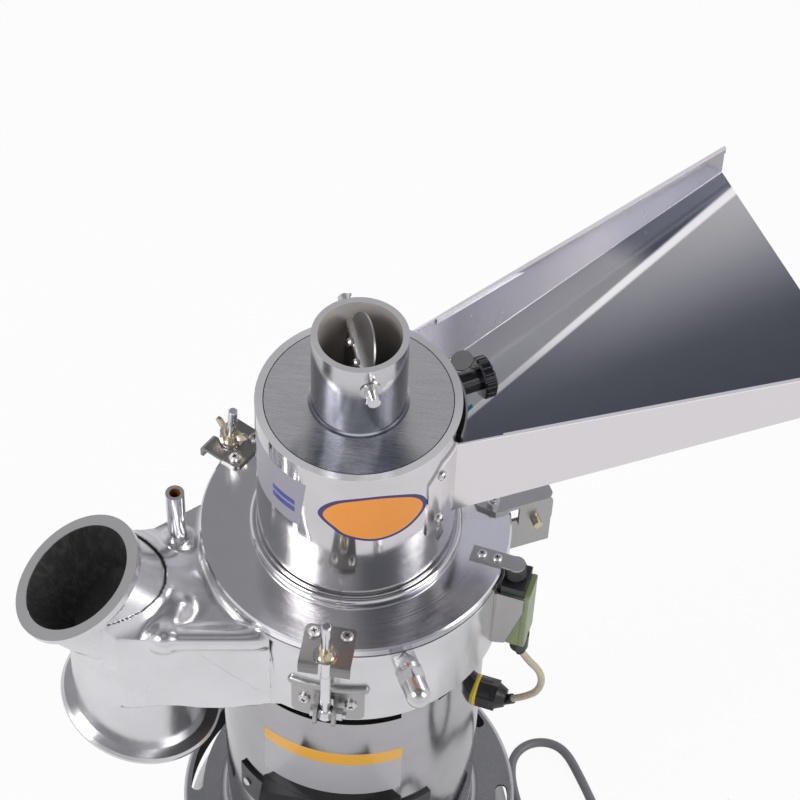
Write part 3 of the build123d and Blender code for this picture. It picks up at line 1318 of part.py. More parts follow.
def rod_seat(index):
    """Height above the pivot at which a washer clears the clamp plate."""
    drop = WASHER_R * math.tan(math.radians(CLAMP_LEAN[index]))
    lean = math.cos(math.radians(CLAMP_LEAN[index]))
    return (lid_top_z() + CLAMP_PLATE_THICK - PIVOT_Z + MOVE_GAP / 2) / lean + drop


def swing_bolt(index):
    """Eye bolt with its washer."""
    length = ROD_TOP_Z - PIVOT_Z
    slab = Box(4 * EYE_R, 2 * EYE_HALF, 4 * EYE_R)
    body = Sphere(EYE_R) & slab
    body += rod(ROD_PLAIN_R, 0, ROD_PLAIN_TOP)
    body += Pos(0, 0, ROD_PLAIN_TOP - 0.2) * Cone(ROD_PLAIN_R, ROD_R, 1, align=BOTTOM)
    shaft = rod(ROD_R, ROD_PLAIN_TOP, length)
    body += chamfer(shaft.edges().sort_by(Axis.Z)[-1:], 0.8)
    body -= Rot(90, 0, 0) * Cylinder(PIVOT_R + RUN_GAP, 30)
    seat = rod_seat(index)
    washer = ring(ROD_R + SEAT_GAP, WASHER_R, seat, seat + WASHER_THICK)
    return clamp_rod(index, group([body, washer]))


def wing_nut(index):
    """Wing nut, its wings drawn out radially."""
    z0 = rod_seat(index) + WASHER_THICK + SEAT_GAP
    nut = Pos(0, 0, z0) * Cone(WING_BASE_R, WING_TOP_R, WING_BASE_H, align=BOTTOM)
    wing = [(WING_TOP_R - 1, z0 + 2.5), (WING_SPAN - 5, z0 + WING_H - 9), (WING_SPAN, z0 + WING_H - 3),
            (WING_SPAN - 1.5, z0 + WING_H), (WING_SPAN - 5, z0 + WING_H), (WING_TOP_R - 1, z0 + WING_BASE_H)]
    plate = side_plate(wing, -WING_THICK / 2, WING_THICK / 2)
    nut += plate + Rot(0, 0, 180) * plate
    nut -= rod(ROD_R + RUN_GAP, z0 - 1, z0 + WING_BASE_H + 20)
    return clamp_rod(index, nut)


# Lid hinge


def hinge_screw_half():
    """Angle from the hinge's azimuth to its bracket's screws."""
    return math.degrees(math.asin(HINGE_SCREW_V / CHAMBER_R))


def hinge_leaf():
    """Upper leaf on the lid with an ear folded down at each side."""
    z0 = lid_top_z()
    z1 = z0 + LEAF_THICK
    plan = [(LEAF_U0, -LEAF_HALF + LEAF_CHAMFER), (LEAF_U0 + LEAF_CHAMFER, -LEAF_HALF),
            (LEAF_U1 - 5, -LEAF_HALF), (LEAF_U1, -LEAF_HALF + 5), (LEAF_U1, LEAF_HALF - 5),
            (LEAF_U1 - 5, LEAF_HALF), (LEAF_U0 + LEAF_CHAMFER, LEAF_HALF),
            (LEAF_U0, LEAF_HALF - LEAF_CHAMFER)]
    leaf = Pos(0, 0, z0) * extrude(polygon(plan), z1 - z0)
    outline = [(LEAF_EAR_U0, z1 - 1), (LEAF_EAR_U0, HINGE_Z), (HINGE_U + LEAF_EAR_R, HINGE_Z),
               (HINGE_U + LEAF_EAR_R, z1 - 5), (LEAF_U1 - 5, z1 - 1)]
    for v0 in (-LEAF_HALF, LEAF_HALF - HINGE_PLATE):
        ear = side_plate(outline, v0, v0 + HINGE_PLATE)
        ear += Pos(HINGE_U, v0 + HINGE_PLATE / 2, HINGE_Z) * Rot(90, 0, 0) * Cylinder(LEAF_EAR_R, HINGE_PLATE)
        leaf += ear
    leaf -= Pos(HINGE_U, 0, HINGE_Z) * Rot(90, 0, 0) * Cylinder(HINGE_PIN_R + RUN_GAP, 200)
    for side in (-1, 1):
        leaf -= Pos(LEAF_BOLT_U, side * LEAF_BOLT_V, 0) * rod(M6_R + SEAT_GAP, z0 - 1, z1 + 1)
    return at(HINGE_AZ, leaf)


def leaf_screws():
    """Studs with nuts that hold the leaf to the lid."""
    length = LEAF_THICK + LID_THICK - 2
    one = hexagon(LEAF_NUT_AF, 0, LEAF_NUT_H) + rod(M6_R, -length, LEAF_NUT_H + 2)
    z = lid_top_z() + LEAF_THICK
    return group([at(HINGE_AZ, one, u=LEAF_BOLT_U, v=s * LEAF_BOLT_V, z=z) for s in (-1, 1)])


def hinge_bracket():
    """Lower hinge bracket on the chamber's wall, folded from plate."""
    inner = CHAMBER_R + SEAT_GAP
    outer_v = LEAF_HALF - HINGE_PLATE - MOVE_GAP
    half = math.degrees(math.asin(outer_v / (inner + HINGE_PLATE)))
    top = HINGE_Z + 2
    body = sector(inner, inner + HINGE_PLATE, half, HINGE_EAR_Z0, top)
    ear_u0 = (inner + HINGE_PLATE) * math.cos(math.radians(half)) - 3
    outline = [(ear_u0, HINGE_EAR_Z0), (HINGE_EAR_U1, HINGE_EAR_Z0), (HINGE_EAR_U1, HINGE_Z - HINGE_EAR_R),
               (HINGE_U + HINGE_EAR_R, HINGE_Z), (HINGE_U - HINGE_EAR_R, HINGE_Z), (ear_u0, HINGE_Z)]
    for v0 in (-outer_v, outer_v - HINGE_PLATE):
        ear = side_plate(outline, v0, v0 + HINGE_PLATE)
        ear += Pos(HINGE_U, v0 + HINGE_PLATE / 2, HINGE_Z) * Rot(90, 0, 0) * Cylinder(HINGE_EAR_R,
                                                                                     HINGE_PLATE)
        body += ear
    body -= Pos(HINGE_U, 0, HINGE_Z) * Rot(90, 0, 0) * Cylinder(HINGE_PIN_R + SEAT_GAP, 200)
    for side in (-1, 1):
        hole = outward(Cylinder(M5_R + SEAT_GAP, 30))
        body -= at(side * hinge_screw_half(), hole, u=inner, z=HINGE_SCREW_Z)
    return at(HINGE_AZ, body - rod(inner, 400, 600))


def hinge_pin():
    """Headed hinge pin with a split pin through its tail."""
    half = LEAF_HALF + MOVE_GAP
    pin = Cylinder(HINGE_PIN_R, 2 * half + HINGE_PIN_TAIL)
    pin = Pos(0, 0, HINGE_PIN_TAIL / 2) * pin
    pin += Pos(0, 0, -half - HINGE_PIN_HEAD_H / 2) * Cylinder(HINGE_PIN_HEAD_R, HINGE_PIN_HEAD_H)
    pin += Pos(0, 0, half + HINGE_PIN_TAIL / 2) * Rot(90, 0, 0) * Cylinder(COTTER_R, 2 * COTTER_H)
    return at(HINGE_AZ, Rot(90, 0, 0) * pin, u=HINGE_U, z=HINGE_Z)


# Interlock tab, limit switch and its lead


def interlock_tab():
    """Flat tab on the lid that holds the switch's plunger down."""
    z0 = lid_top_z()
    middle = (TAB_U0 + TAB_END_U) / 2
    plan = Pos(middle, 0) * Rectangle(TAB_END_U - TAB_U0, 2 * TAB_HALF) + Pos(TAB_END_U, 0) * Circle(
        TAB_END_R)
    tab = Pos(0, 0, z0) * extrude(plan, TAB_THICK)
    for u in TAB_SCREW_U:
        tab -= Pos(u, 0, 0) * rod(SMALL_SCREW_R + SEAT_GAP, z0 - 1, z0 + TAB_THICK + 1)
    return at(SWITCH_AZ, tab)


def tab_screws():
    """Screws of the interlock tab."""
    one = screw(SMALL_SCREW_R, TAB_THICK + LID_THICK - 2, SMALL_HEAD_R, SMALL_HEAD_H)
    return group([at(SWITCH_AZ, one, u=u, z=lid_top_z() + TAB_THICK) for u in TAB_SCREW_U])


def switch_screw_heights():
    """Heights of the screws that hold the switch bracket to the chamber."""
    return (SWITCH_Z0 + 14, SWITCH_HEAD_Z0 - 14)


def switch_bracket():
    """Folded sheet bracket: a flange on the chamber and a tapered side plate."""
    inner = CHAMBER_R + SEAT_GAP
    side_v = -SWITCH_HALF - MOVE_GAP / 3
    outline = [(inner - 4, SWITCH_HEAD_Z0), (SWITCH_HEAD_U1 + 1, SWITCH_HEAD_Z0),
               (SWITCH_HEAD_U1 + 1, SWITCH_HEAD_Z0 - 18), (SWITCH_GLAND_U - 10, SWITCH_Z0 + 1),
               (inner + 3, SWITCH_Z0 - 2), (inner - 4, SWITCH_Z0 - 2)]
    z0 = SWITCH_Z0 - 2
    half = math.degrees(math.asin((1.3 * BRACKET_SHEET - side_v) / inner))
    flange = sector(inner, inner + BRACKET_SHEET, half, z0, SWITCH_HEAD_Z0)
    body = side_plate(outline, side_v - BRACKET_SHEET, side_v) - rod(inner + BRACKET_SHEET / 2, 300, 600)
    body += flange
    hole = outward(rod(SMALL_SCREW_R + SEAT_GAP, inner - 5, inner + 5))
    body -= group([Pos(0, 0, z) * hole for z in switch_screw_heights()])
    return at(SWITCH_AZ, body)


def switch_body_u():
    """Radius of the switch body's back, clear of the bracket's screws."""
    return CHAMBER_R + 2 * SEAT_GAP + BRACKET_SHEET + 0.6 * SMALL_HEAD_H


def switch_body():
    """Moulded switch housing with a raised cover."""
    back = switch_body_u()
    depth = SWITCH_U1 - back
    height = SWITCH_HEAD_Z0 - SWITCH_Z0
    block = Pos((SWITCH_U1 + back) / 2, 0, SWITCH_Z0) * Box(depth, 2 * SWITCH_HALF, height, align=BOTTOM)
    block = fillet(block.edges().filter_by(Axis.Z), SWITCH_EDGE)
    rib = Pos(SWITCH_U1 - 5, 0, SWITCH_Z0 + height / 2) * Box(1, 2 * SWITCH_HALF + 1, height + 1)
    block -= rib - Pos(SWITCH_U1 - 5, 0, SWITCH_Z0 + height / 2) * Box(2, 2 * SWITCH_HALF - 0.8, height - 0.8)
    for z in switch_screw_heights():
        block -= Pos(back, 0, z) * outward(Cylinder(SMALL_HEAD_R + SEAT_GAP, 2 * SMALL_HEAD_H))
    block -= Pos(SWITCH_GLAND_U, 0, 0) * rod(SWITCH_GLAND_R - 1.9, SWITCH_Z0 - 1, SWITCH_Z0 + 5)
    return at(SWITCH_AZ, block)


def switch_head():
    """Switch head with the bore of its plunger."""
    back = switch_body_u()
    depth = SWITCH_HEAD_U1 - back
    height = SWITCH_HEAD_Z1 - SWITCH_HEAD_Z0
    head = Pos((SWITCH_HEAD_U1 + back) / 2, 0, SWITCH_HEAD_Z0) * Box(depth, 2 * SWITCH_HEAD_HALF, height,
                                                                     align=BOTTOM)
    bore = rod(PLUNGER_STEM_R + RUN_GAP, SWITCH_HEAD_Z0 + 1, SWITCH_HEAD_Z1 + 1)
    return at(SWITCH_AZ, head - Pos(TAB_END_U, 0, 0) * bore)


def switch_plunger():
    """Ribbed plunger cap that the tab rests on."""
    stem_z = SWITCH_HEAD_Z0 + 1 + PLUNGER_TRAVEL + 1
    base = SWITCH_HEAD_Z1 + PLUNGER_TRAVEL + MOVE_GAP
    pitch = (PLUNGER_TOP_Z - base) / (PLUNGER_RIBS + 1)
    points = [(0, stem_z), (PLUNGER_STEM_R, stem_z), (PLUNGER_STEM_R, base), (PLUNGER_R, base)]
    for i in range(PLUNGER_RIBS):
        z = base + (i + 0.5) * pitch
        points += [(PLUNGER_R, z), (PLUNGER_R - 1.2, z + pitch / 4), (PLUNGER_R, z + pitch / 2)]
    points += [(PLUNGER_R, PLUNGER_TOP_Z - 1.5), (PLUNGER_R - 1.5, PLUNGER_TOP_Z), (0, PLUNGER_TOP_Z)]
    return at(SWITCH_AZ, turned(points), u=TAB_END_U)


def switch_screws():
    """Screws that hold the switch bracket to the chamber."""
    seat = CHAMBER_R + 2 * SEAT_GAP + BRACKET_SHEET
    one = outward(screw(SMALL_SCREW_R, BRACKET_SHEET + 6, SMALL_HEAD_R, SMALL_HEAD_H))
    return group([at(SWITCH_AZ, one, u=seat, z=z) for z in switch_screw_heights()])


def lead_direction(end):
    """Unit direction of the switch lead's first or last run, in its plane."""
    (u0, z0), (u1, z1) = (LEAD_ROUTE[0], LEAD_ROUTE[1]) if end == 0 else (LEAD_ROUTE[-1], LEAD_ROUTE[-2])
    length = math.hypot(u1 - u0, z1 - z0)
    return (u1 - u0) / length, (z1 - z0) / length


def nozzle(end, start):
    """Short seal that points along the lead and ends where the lead starts."""
    u, z = LEAD_ROUTE[0] if end == 0 else LEAD_ROUTE[-1]
    du, dz = lead_direction(end)
    plane = Plane(origin=(u, 0, z), x_dir=(0, 1, 0), z_dir=(-du, 0, -dz))
    return plane * Cylinder(NOZZLE_R, start, align=BOTTOM)


def switch_gland():
    """Gland under the switch, its seal turned along the lead."""
    body = Pos(SWITCH_GLAND_U, 0, 0) * rod(SWITCH_GLAND_R - 2, SWITCH_Z0, SWITCH_Z0 + 4)
    nut = rod(SWITCH_GLAND_R, SWITCH_GLAND_Z, SWITCH_Z0)
    nut = chamfer(nut.edges().sort_by(Axis.Z)[:1], 2)
    body += Pos(SWITCH_GLAND_U, 0, 0) * nut + nozzle(0, 9)
    return at(SWITCH_AZ, body)


def housing_gland():
    """Cable gland on the housing: ring, hexagon, domed nut and seal."""
    start = HOUSING_R + SEAT_GAP
    length = HOUSING_GLAND_U1 - start
    hexed = hexagon(2 * HOUSING_GLAND_R * 0.93, 0, length - 8)
    dome = Pos(0, 0, length - 8) * Cone(HOUSING_GLAND_R * 0.92, HOUSING_GLAND_R * 0.62, 8, align=BOTTOM)
    body = rod(HOUSING_GLAND_R, HOUSING_RING_THICK, length - 14) + hexed + dome
    body += rod(NOZZLE_R, -HOUSING_WALL - 3, 1)
    body -= rod(2 * HOUSING_GLAND_R, 0, HOUSING_RING_THICK) - rod(NOZZLE_R, -1, HOUSING_RING_THICK)
    body = Pos(start, 0, HOUSING_GLAND_Z) * outward(body) + nozzle(1, 12)
    return at(SWITCH_AZ, body)


def gland_ring():
    """Yellow sealing ring between the gland and the housing."""
    washer = outward(ring(NOZZLE_R + SEAT_GAP, HOUSING_RING_R, -1, HOUSING_RING_THICK))
    washer = Pos(HOUSING_R + SEAT_GAP, 0, HOUSING_GLAND_Z) * washer
    return at(SWITCH_AZ, washer - rod(HOUSING_R + SEAT_GAP, 200, 400))


def tube_along(points, radius):
    """Cord tube of straight runs and tangent arcs; prints its radii and its length."""
    places = [Vector(*p) for p in points]
    radii = []
    for a, b, c in zip(places, places[1:], places[2:]):
        turn = math.radians((b - a).get_angle(c - b))
        radii.append(0.45 * min((b - a).length, (c - b).length) / math.tan(turn / 2))
    path = FilletPolyline(*places, radius=radii)
    print("radii", [round(r, 1) for r in radii], "length", round(path.length, 1))
    section = Plane(origin=path @ 0, z_dir=path % 0) * Circle(radius)
    tube = sweep(section, path=path)
    print("volume ratio", round(tube.volume / (math.pi * radius ** 2 * path.length), 4))
    return tube


def switch_lead():
    """Lead from the switch to the housing."""
    return at(SWITCH_AZ, tube_along([(u, 0, z) for u, z in LEAD_ROUTE], LEAD_R))


# Side stud


def stud_start():
    """Radius at which the side stud's washers begin."""
    return STUD_BASE_END


def side_stud():
    """Stud in the chamber's wall with its hexagonal collar."""
    end = stud_start() + 2 * STUD_WASHER_THICK + DOME_HEX_H
    body = outward(hexagon(STUD_BASE_AF, CHAMBER_R - 3, STUD_BASE_END) + rod(STUD_R, STUD_BASE_END, end))
    body -= Pos(0, 0, -STUD_Z) * rod(CHAMBER_R + SEAT_GAP, CHAMBER_FLOOR_Z, LID_BOTTOM_Z)
    rim_z = CHAMBER_TOP_Z - RIM_H - SEAT_GAP
    body -= Pos(0, 0, -STUD_Z) * rod(RIM_R + SEAT_GAP, rim_z, LID_BOTTOM_Z)
    body += outward(rod(STUD_R, CHAMBER_BORE_R + 4, CHAMBER_R + 1))
    return at(STUD_AZ, body, z=STUD_Z)


def stud_washers():
    """Plain washer and toothed washer on the side stud."""
    z0 = stud_start() + SEAT_GAP
    plain = ring(STUD_R + SEAT_GAP, STUD_WASHER_R, z0, z0 + STUD_WASHER_THICK - SEAT_GAP)
    z1 = z0 + STUD_WASHER_THICK
    toothed = ring(STUD_R + SEAT_GAP, STUD_WASHER_R - 0.6, z1, z1 + STUD_WASHER_THICK - SEAT_GAP)
    return at(STUD_AZ, outward(group([plain, toothed])), z=STUD_Z)


def dome_nut():
    """Dome nut on the side stud."""
    z0 = stud_start() + 2 * STUD_WASHER_THICK + 2 * SEAT_GAP
    z1 = z0 + DOME_HEX_H
    nut = hexagon(DOME_AF, z0, z1) & (Pos(0, 0, z0) * Cone(DOME_AF * 0.58, DOME_AF * 0.54, DOME_HEX_H,
                                                           align=BOTTOM))
    nut += rod(DOME_R, z1 - 1, DOME_END - DOME_R) + Pos(0, 0, DOME_END - DOME_R) * Sphere(DOME_R)
    nut -= rod(STUD_R + SEAT_GAP, z0 - 30, z1 + 2)
    return at(STUD_AZ, outward(nut), z=STUD_Z)


# Control box


def box_outline():
    """Side outline of the control box as (u, z), u outward at the front."""
    front = -BOX_FRONT_Y
    return [(HOUSING_R - 30, BOX_Z0), (front, BOX_Z0), (front, BOX_FRONT_Z),
            (HOUSING_R, BOX_REAR_Z), (HOUSING_R - 30, BOX_REAR_Z)]


def box_screw_places():
    """Azimuth and height of each screw of the control box."""
    places = []
    for z0, z1 in BOX_EAR_Z:
        for side in (-1, 1):
            places.append((-90 + side * BOX_EAR_SCREW_HALF, (z0 + z1) / 2))
    return places


def control_box():
    """Box with a sloping top, curved to the housing at its back, and four screw ears."""
    outer = side_plate(box_outline(), -BOX_HALF, BOX_HALF)
    outer = fillet(outer.edges().filter_by(Axis.Z).sort_by(Axis.X)[-2:], BOX_CORNER_R)
    front = -BOX_FRONT_Y
    inner = Pos(HOUSING_R - 30, 0, BOX_Z0 + BOX_WALL) * Box(
        front - HOUSING_R + 30 + 1, 2 * (BOX_HALF - BOX_WALL - PANEL_INSET), BOX_FRONT_Z - BOX_Z0
        - 2 * BOX_WALL - PANEL_INSET, align=(Align.MIN, Align.CENTER, Align.MIN))
    box = outer - inner
    box -= rod(HOUSING_R + SEAT_GAP, 0, 400)
    cutout = Pos(front - PANEL_THICK - SEAT_GAP, 0, panel_z0() - SEAT_GAP) * Box(
        20, 2 * (panel_half() + SEAT_GAP), panel_z1() - panel_z0() + 2 * SEAT_GAP,
        align=(Align.MIN, Align.CENTER, Align.MIN))
    box -= cutout
    inside = HOUSING_R + SEAT_GAP
    for z0, z1 in BOX_EAR_Z:
        for side in (-1, 1):
            middle = side * (BOX_EAR_HALF_0 + BOX_EAR_HALF_1) / 2
            half = (BOX_EAR_HALF_1 - BOX_EAR_HALF_0) / 2
            box += sector(inside, inside + BOX_EAR_THICK, half, z0, z1, middle)
    for azimuth, z in box_screw_places():
        hole = outward(Cylinder(SMALL_SCREW_R + SEAT_GAP, 20))
        box -= at(azimuth + 90, hole, u=inside, z=z)
    gland = Rot(90, 0, 0) * Cylinder(CORD_R + SEAT_GAP, 20)
    box -= Pos(-MAINS_GLAND_Y, BOX_HALF, MAINS_GLAND_Z) * gland
    return Rot(0, 0, -90) * box


def panel_half():
    """Half width of the front panel."""
    return BOX_HALF - PANEL_INSET


def panel_z0():
    """Height of the front panel's lower edge."""
    return BOX_Z0 + PANEL_INSET


def panel_z1():
    """Height of the front panel's upper edge."""
    return BOX_FRONT_Z - PANEL_INSET


def front_face(part, x=0.0, z=0.0, depth=0.0):
    """Place a piece drawn on z = 0 so that it stands out of the control panel."""
    return Pos(x, BOX_FRONT_Y + depth, z) * Rot(90, 0, 0) * part


def control_panel():
    """Front panel with the openings of the rocker and the button."""
    height = panel_z1() - panel_z0()
    middle = (panel_z1() + panel_z0()) / 2
    plate = front_face(Box(2 * panel_half(), height, PANEL_THICK, align=BOTTOM), z=middle,
                       depth=PANEL_THICK)
    bezel_w = ROCKER_W + 2 * ROCKER_BEZEL
    bezel_h = ROCKER_H + 2 * ROCKER_BEZEL
    plate += front_face(Box(bezel_w, bezel_h, ROCKER_BEZEL, align=BOTTOM), ROCKER_X, ROCKER_Z)
    plate += front_face(rod(BUTTON_BEZEL_R, 0, BUTTON_BEZEL_H), BUTTON_X, BUTTON_Z)
    plate -= front_face(Box(ROCKER_W, ROCKER_H, 40), ROCKER_X, ROCKER_Z)
    plate -= front_face(Cylinder(BUTTON_R + RUN_GAP, 40), BUTTON_X, BUTTON_Z)
    for x, z in panel_screw_places():
        plate -= front_face(Cylinder(SMALL_SCREW_R + SEAT_GAP, 20), x, z)
    return plate


def panel_screw_places():
    """Places of the front panel's screws."""
    x = panel_half() - PANEL_SCREW_INSET / 2
    return [(sx * x, z) for sx in (-1, 1)
            for z in (panel_z0() + PANEL_SCREW_INSET / 2, panel_z1() - PANEL_SCREW_INSET / 2)]


def box_screws():
    """Screws of the control box's ears and front panel."""
    one = outward(screw(SMALL_SCREW_R, BOX_EAR_THICK + HOUSING_WALL, SMALL_HEAD_R, SMALL_HEAD_H))
    seat = HOUSING_R + 2 * SEAT_GAP + BOX_EAR_THICK
    parts = [at(a, one, u=seat, z=z) for a, z in box_screw_places()]
    small = screw(SMALL_SCREW_R, PANEL_THICK, SMALL_HEAD_R, SMALL_HEAD_H)
    parts += [front_face(small, x, z) for x, z in panel_screw_places()]
    return group(parts)


def power_rocker():
    """Rocker of the power switch."""
    half = ROCKER_H / 2 - MOVE_GAP
    low = -ROCKER_DEPTH
    points = [(low, 0), (0, half - 1.5), (ROCKER_BEZEL + 3, half - 3.5), (ROCKER_BEZEL + 1, 0),
              (ROCKER_BEZEL, -half + 1), (0, -half + 1.5)]
    face = make_face(Polyline(*[(u, 0, z) for u, z in points], close=True))
    width = ROCKER_W / 2 - MOVE_GAP
    body = Pos(0, width, 0) * extrude(face, 2 * width, dir=(0, -1, 0))
    body -= Pos(-ROCKER_PIVOT_DEPTH, 0, 0) * Rot(90, 0, 0) * Cylinder(ROCKER_PIVOT_R, 3 * width)
    return Pos(ROCKER_X, BOX_FRONT_Y, ROCKER_Z) * Rot(0, 0, -90) * body


def reset_button():
    """Push button of the overload switch."""
    body = rod(BUTTON_R, -PANEL_THICK - 3, BUTTON_PROUD)
    body = chamfer(body.edges().sort_by(Axis.Z)[-1:], 1)
    return front_face(body, BUTTON_X, BUTTON_Z)


def mains_gland():
    """Strain relief of the mains cord: hexagonal nut and tapered boot."""
    start = BOX_HALF + SEAT_GAP
    body = hexagon(2 * MAINS_GLAND_R * 0.9, start, start + MAINS_GLAND_L)
    body += Pos(0, 0, start + MAINS_GLAND_L) * Cone(BOOT_R0, BOOT_R1, mains_boot_length(), align=BOTTOM)
    body += rod(CORD_R, start - 6, start)
    return Pos(0, MAINS_GLAND_Y, MAINS_GLAND_Z) * outward(body)


def mains_boot_length():
    """Length of the tapered boot, up to the cord's first point."""
    return MAINS_ROUTE[0][0] - BOX_HALF - SEAT_GAP - MAINS_GLAND_L


# Mains cord, coil and plug


def mains_cord():
    """Cord from the strain relief to the coil."""
    return tube_along(MAINS_ROUTE, CORD_R)


def coil_height():
    """Height of the stack of turns."""
    return 2 * CORD_R * COIL_LAYERS


def cord_coil():
    """Outer form of the coiled length, with a straight end at each side."""
    width = coil_height()
    side = width - 2 * COIL_TUCK
    section = Pos(COIL_R, 0, width / 2) * Rot(90, 0, 0) * RectangleRounded(side, side, CORD_R * 0.9)
    body = revolve(section, axis=Axis.Z)
    outer = COIL_R + CORD_R
    body += Pos(-outer, 0, CORD_R) * Rot(-90, 0, 0) * Cylinder(CORD_R, COIL_LEAD, align=BOTTOM)
    body += Pos(outer, 0, width - CORD_R) * Rot(-90, 0, 0) * Cylinder(CORD_R, COIL_LEAD, align=BOTTOM)
    return Pos(COIL_X, COIL_Y, 0) * body


def mains_plug():
    """Moulded plug with its tapered boot and three flat pins."""
    height = coil_height() - CORD_R
    body = Pos(0, 0, PLUG_BOOT_L) * Box(PLUG_WIDTH, 2 * height - MOVE_GAP, PLUG_LENGTH, align=BOTTOM)
    body = fillet(body.edges().filter_by(Axis.Z), PLUG_EDGE_R)
    body += Cone(BOOT_R1, PLUG_BOOT_R, PLUG_BOOT_L, align=BOTTOM)
    pin = Pos(0, 0, PLUG_BOOT_L + PLUG_LENGTH) * Box(PLUG_PIN_W, PLUG_PIN_T, PLUG_PIN_L, align=BOTTOM)
    for turn in (-90, 30, 150):
        body += Rot(0, 0, turn) * Pos(PLUG_PIN_CIRCLE_R, 0, 0) * pin
    return Pos(COIL_X + COIL_R + CORD_R, COIL_Y + COIL_LEAD, height) * Rot(-90, 0, 0) * body


NODES = {
    "base_pan": base_pan,
    "rubber_feet": rubber_feet,
    "body_screws": lambda: group([foot_screws(), housing_screws(), chamber_bolts(), box_screws()]),
    "motor_housing": motor_housing,
    "end_bell": end_bell,
    "shaft_bearings": lambda: group([lower_bearing(), upper_bearing(), shaft_seal()]),
    "stator": lambda: group([stator_core(), stator_windings()]),
    "motor_rotor": motor_rotor,
    "cooling_fan": cooling_fan,
    "motor_shaft": motor_shaft,
    "rotor_disc": rotor_disc,
    "hammers": hammers,
    "rotor_fasteners": lambda: group([hammer_screws(), rotor_nut()]),
    "grinding_chamber": grinding_chamber,
    "pipe_stub": pipe_stub,
    "liner_ring": liner_ring,
    "lid_disc": lid_disc,
    "lid_gasket": lid_gasket,
    "tooth_ring": tooth_ring,
    "lid_screws": lambda: group([clamp_screws(), leaf_screws(), tab_screws(), hopper_screws()]),
    "feed_drum": feed_drum,
    "drum_cover": drum_cover,
    "feed_neck": feed_neck,
    "damper_disc": damper_disc,
    "damper_axle": damper_axle,
    "damper_fasteners": lambda: group([damper_screws(), damper_pins()]),
    "hopper": hopper,
    "gate_plate": gate_plate,
    "clamp_knob": lambda: group([clamp_knob(), knob_washer()]),
    "clamp_plates": clamp_plates,
    "clamp_brackets": clamp_brackets,
    "chamber_screws": lambda: group([bracket_screws(), switch_screws()]),
    "pivot_pins": lambda: group([pivot_pins(), pivot_nuts()]),
    "front_swing_bolt": lambda: swing_bolt(0),
    "rear_swing_bolt": lambda: swing_bolt(1),
    "front_wing_nut": lambda: wing_nut(0),
    "rear_wing_nut": lambda: wing_nut(1),
    "hinge_leaf": hinge_leaf,
    "hinge_bracket": hinge_bracket,
    "hinge_pin": hinge_pin,
    "interlock_tab": interlock_tab,
    "switch_bracket": switch_bracket,
    "switch_body": switch_body,
    "switch_head": switch_head,
    "switch_plunger": switch_plunger,
    "switch_gland": switch_gland,
    "housing_gland": housing_gland,
    "gland_ring": gland_ring,
    "switch_lead": switch_lead,
    "side_stud": side_stud,
    "dome_nut": lambda: group([dome_nut(), stud_washers()]),
    "control_box": control_box,
    "control_panel": control_panel,
    "power_rocker": power_rocker,
    "reset_button": reset_button,
    "mains_gland": mains_gland,
    "mains_cord": mains_cord,
    "cord_coil": cord_coil,
    "mains_plug": mains_plug,
}


def main():
    """Build each piece and write its file."""
    os.makedirs("parts", exist_ok=True)
    for name, build in NODES.items():
        export_step(build(), f"parts/{name}.step")


main()
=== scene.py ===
"""Looks of a pulverizer machine, laid out as a Blender add-on and run as a script."""

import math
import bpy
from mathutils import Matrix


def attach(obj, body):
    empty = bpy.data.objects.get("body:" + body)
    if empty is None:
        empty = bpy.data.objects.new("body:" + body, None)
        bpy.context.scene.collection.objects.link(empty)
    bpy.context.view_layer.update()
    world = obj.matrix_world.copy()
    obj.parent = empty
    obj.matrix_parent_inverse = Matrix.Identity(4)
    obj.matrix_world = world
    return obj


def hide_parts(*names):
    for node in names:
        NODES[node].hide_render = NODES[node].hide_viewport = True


bl_info = {
    "name": "Pulverizer machine looks",
    "version": (1, 0, 0),
    "blender": (4, 5, 0),
    "location": "View3D > Sidebar > Pulverizer",
    "description": "Finishes, labels, cords, cast blends and stage of a pulverizer machine",
    "category": "Object",
}

import bmesh
import bpy
import numpy as np
from bpy.props import FloatProperty, FloatVectorProperty, IntProperty, PointerProperty
from bpy.types import Operator, Panel, PropertyGroup
from mathutils import Matrix, Vector

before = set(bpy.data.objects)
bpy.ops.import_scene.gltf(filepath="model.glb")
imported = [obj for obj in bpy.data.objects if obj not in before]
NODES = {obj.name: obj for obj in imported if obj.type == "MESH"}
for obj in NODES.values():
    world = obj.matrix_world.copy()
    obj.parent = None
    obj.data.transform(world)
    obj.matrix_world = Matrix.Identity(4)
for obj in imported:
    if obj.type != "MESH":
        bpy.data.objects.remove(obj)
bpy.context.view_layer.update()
MM = 0.001

# Radii and azimuths that the looks share with the frame, in millimetres and degrees
DRUM_R = 82.0
DRUM_TOP_Z = 656.0
HOUSING_R = 116.0
HOPPER_AZ = 32.8
OUTLET_AZ = 190.3
SWITCH_AZ = -8.9

# The outlet's forms, in millimetres on its own axes (d, n, z)
CHAMBER_R = 128.0
CHAMBER_Z = (388.0, 485.0)
BLOCK_Z = (388.0, 475.0)
BLOCK_SIDES = [((40.0, -30.0), (131.0, -30.0)), ((131.0, -30.0), (180.0, 2.0)), ((180.0, 2.0), (190.0, 54.0)),
               ((190.0, 54.0), (190.0, 140.0))]
BLOCK_FRONT = (106.0, 6.0)
ELBOW = (186.0, 54.0, 433.0, 54.0)
LOW_RIM = (184.5, 315.0, 60.0)
FLANGE_CENTRE = (229.4, 53.0, 487.6)
FLANGE_TILT = math.radians(29.8)
FLANGE_R = 59.5
FLANGE_THICK = 6.0
PIPE_SLOPE = math.radians(42.0)
PIPE_R = 55.0
RAIL_POINTS = ((82.0, 106.0, 475.0), (156.0, 106.0, 475.0), (146.0, 76.0, 475.0))
RAIL_R = 7.5
BALL_R = 10.5
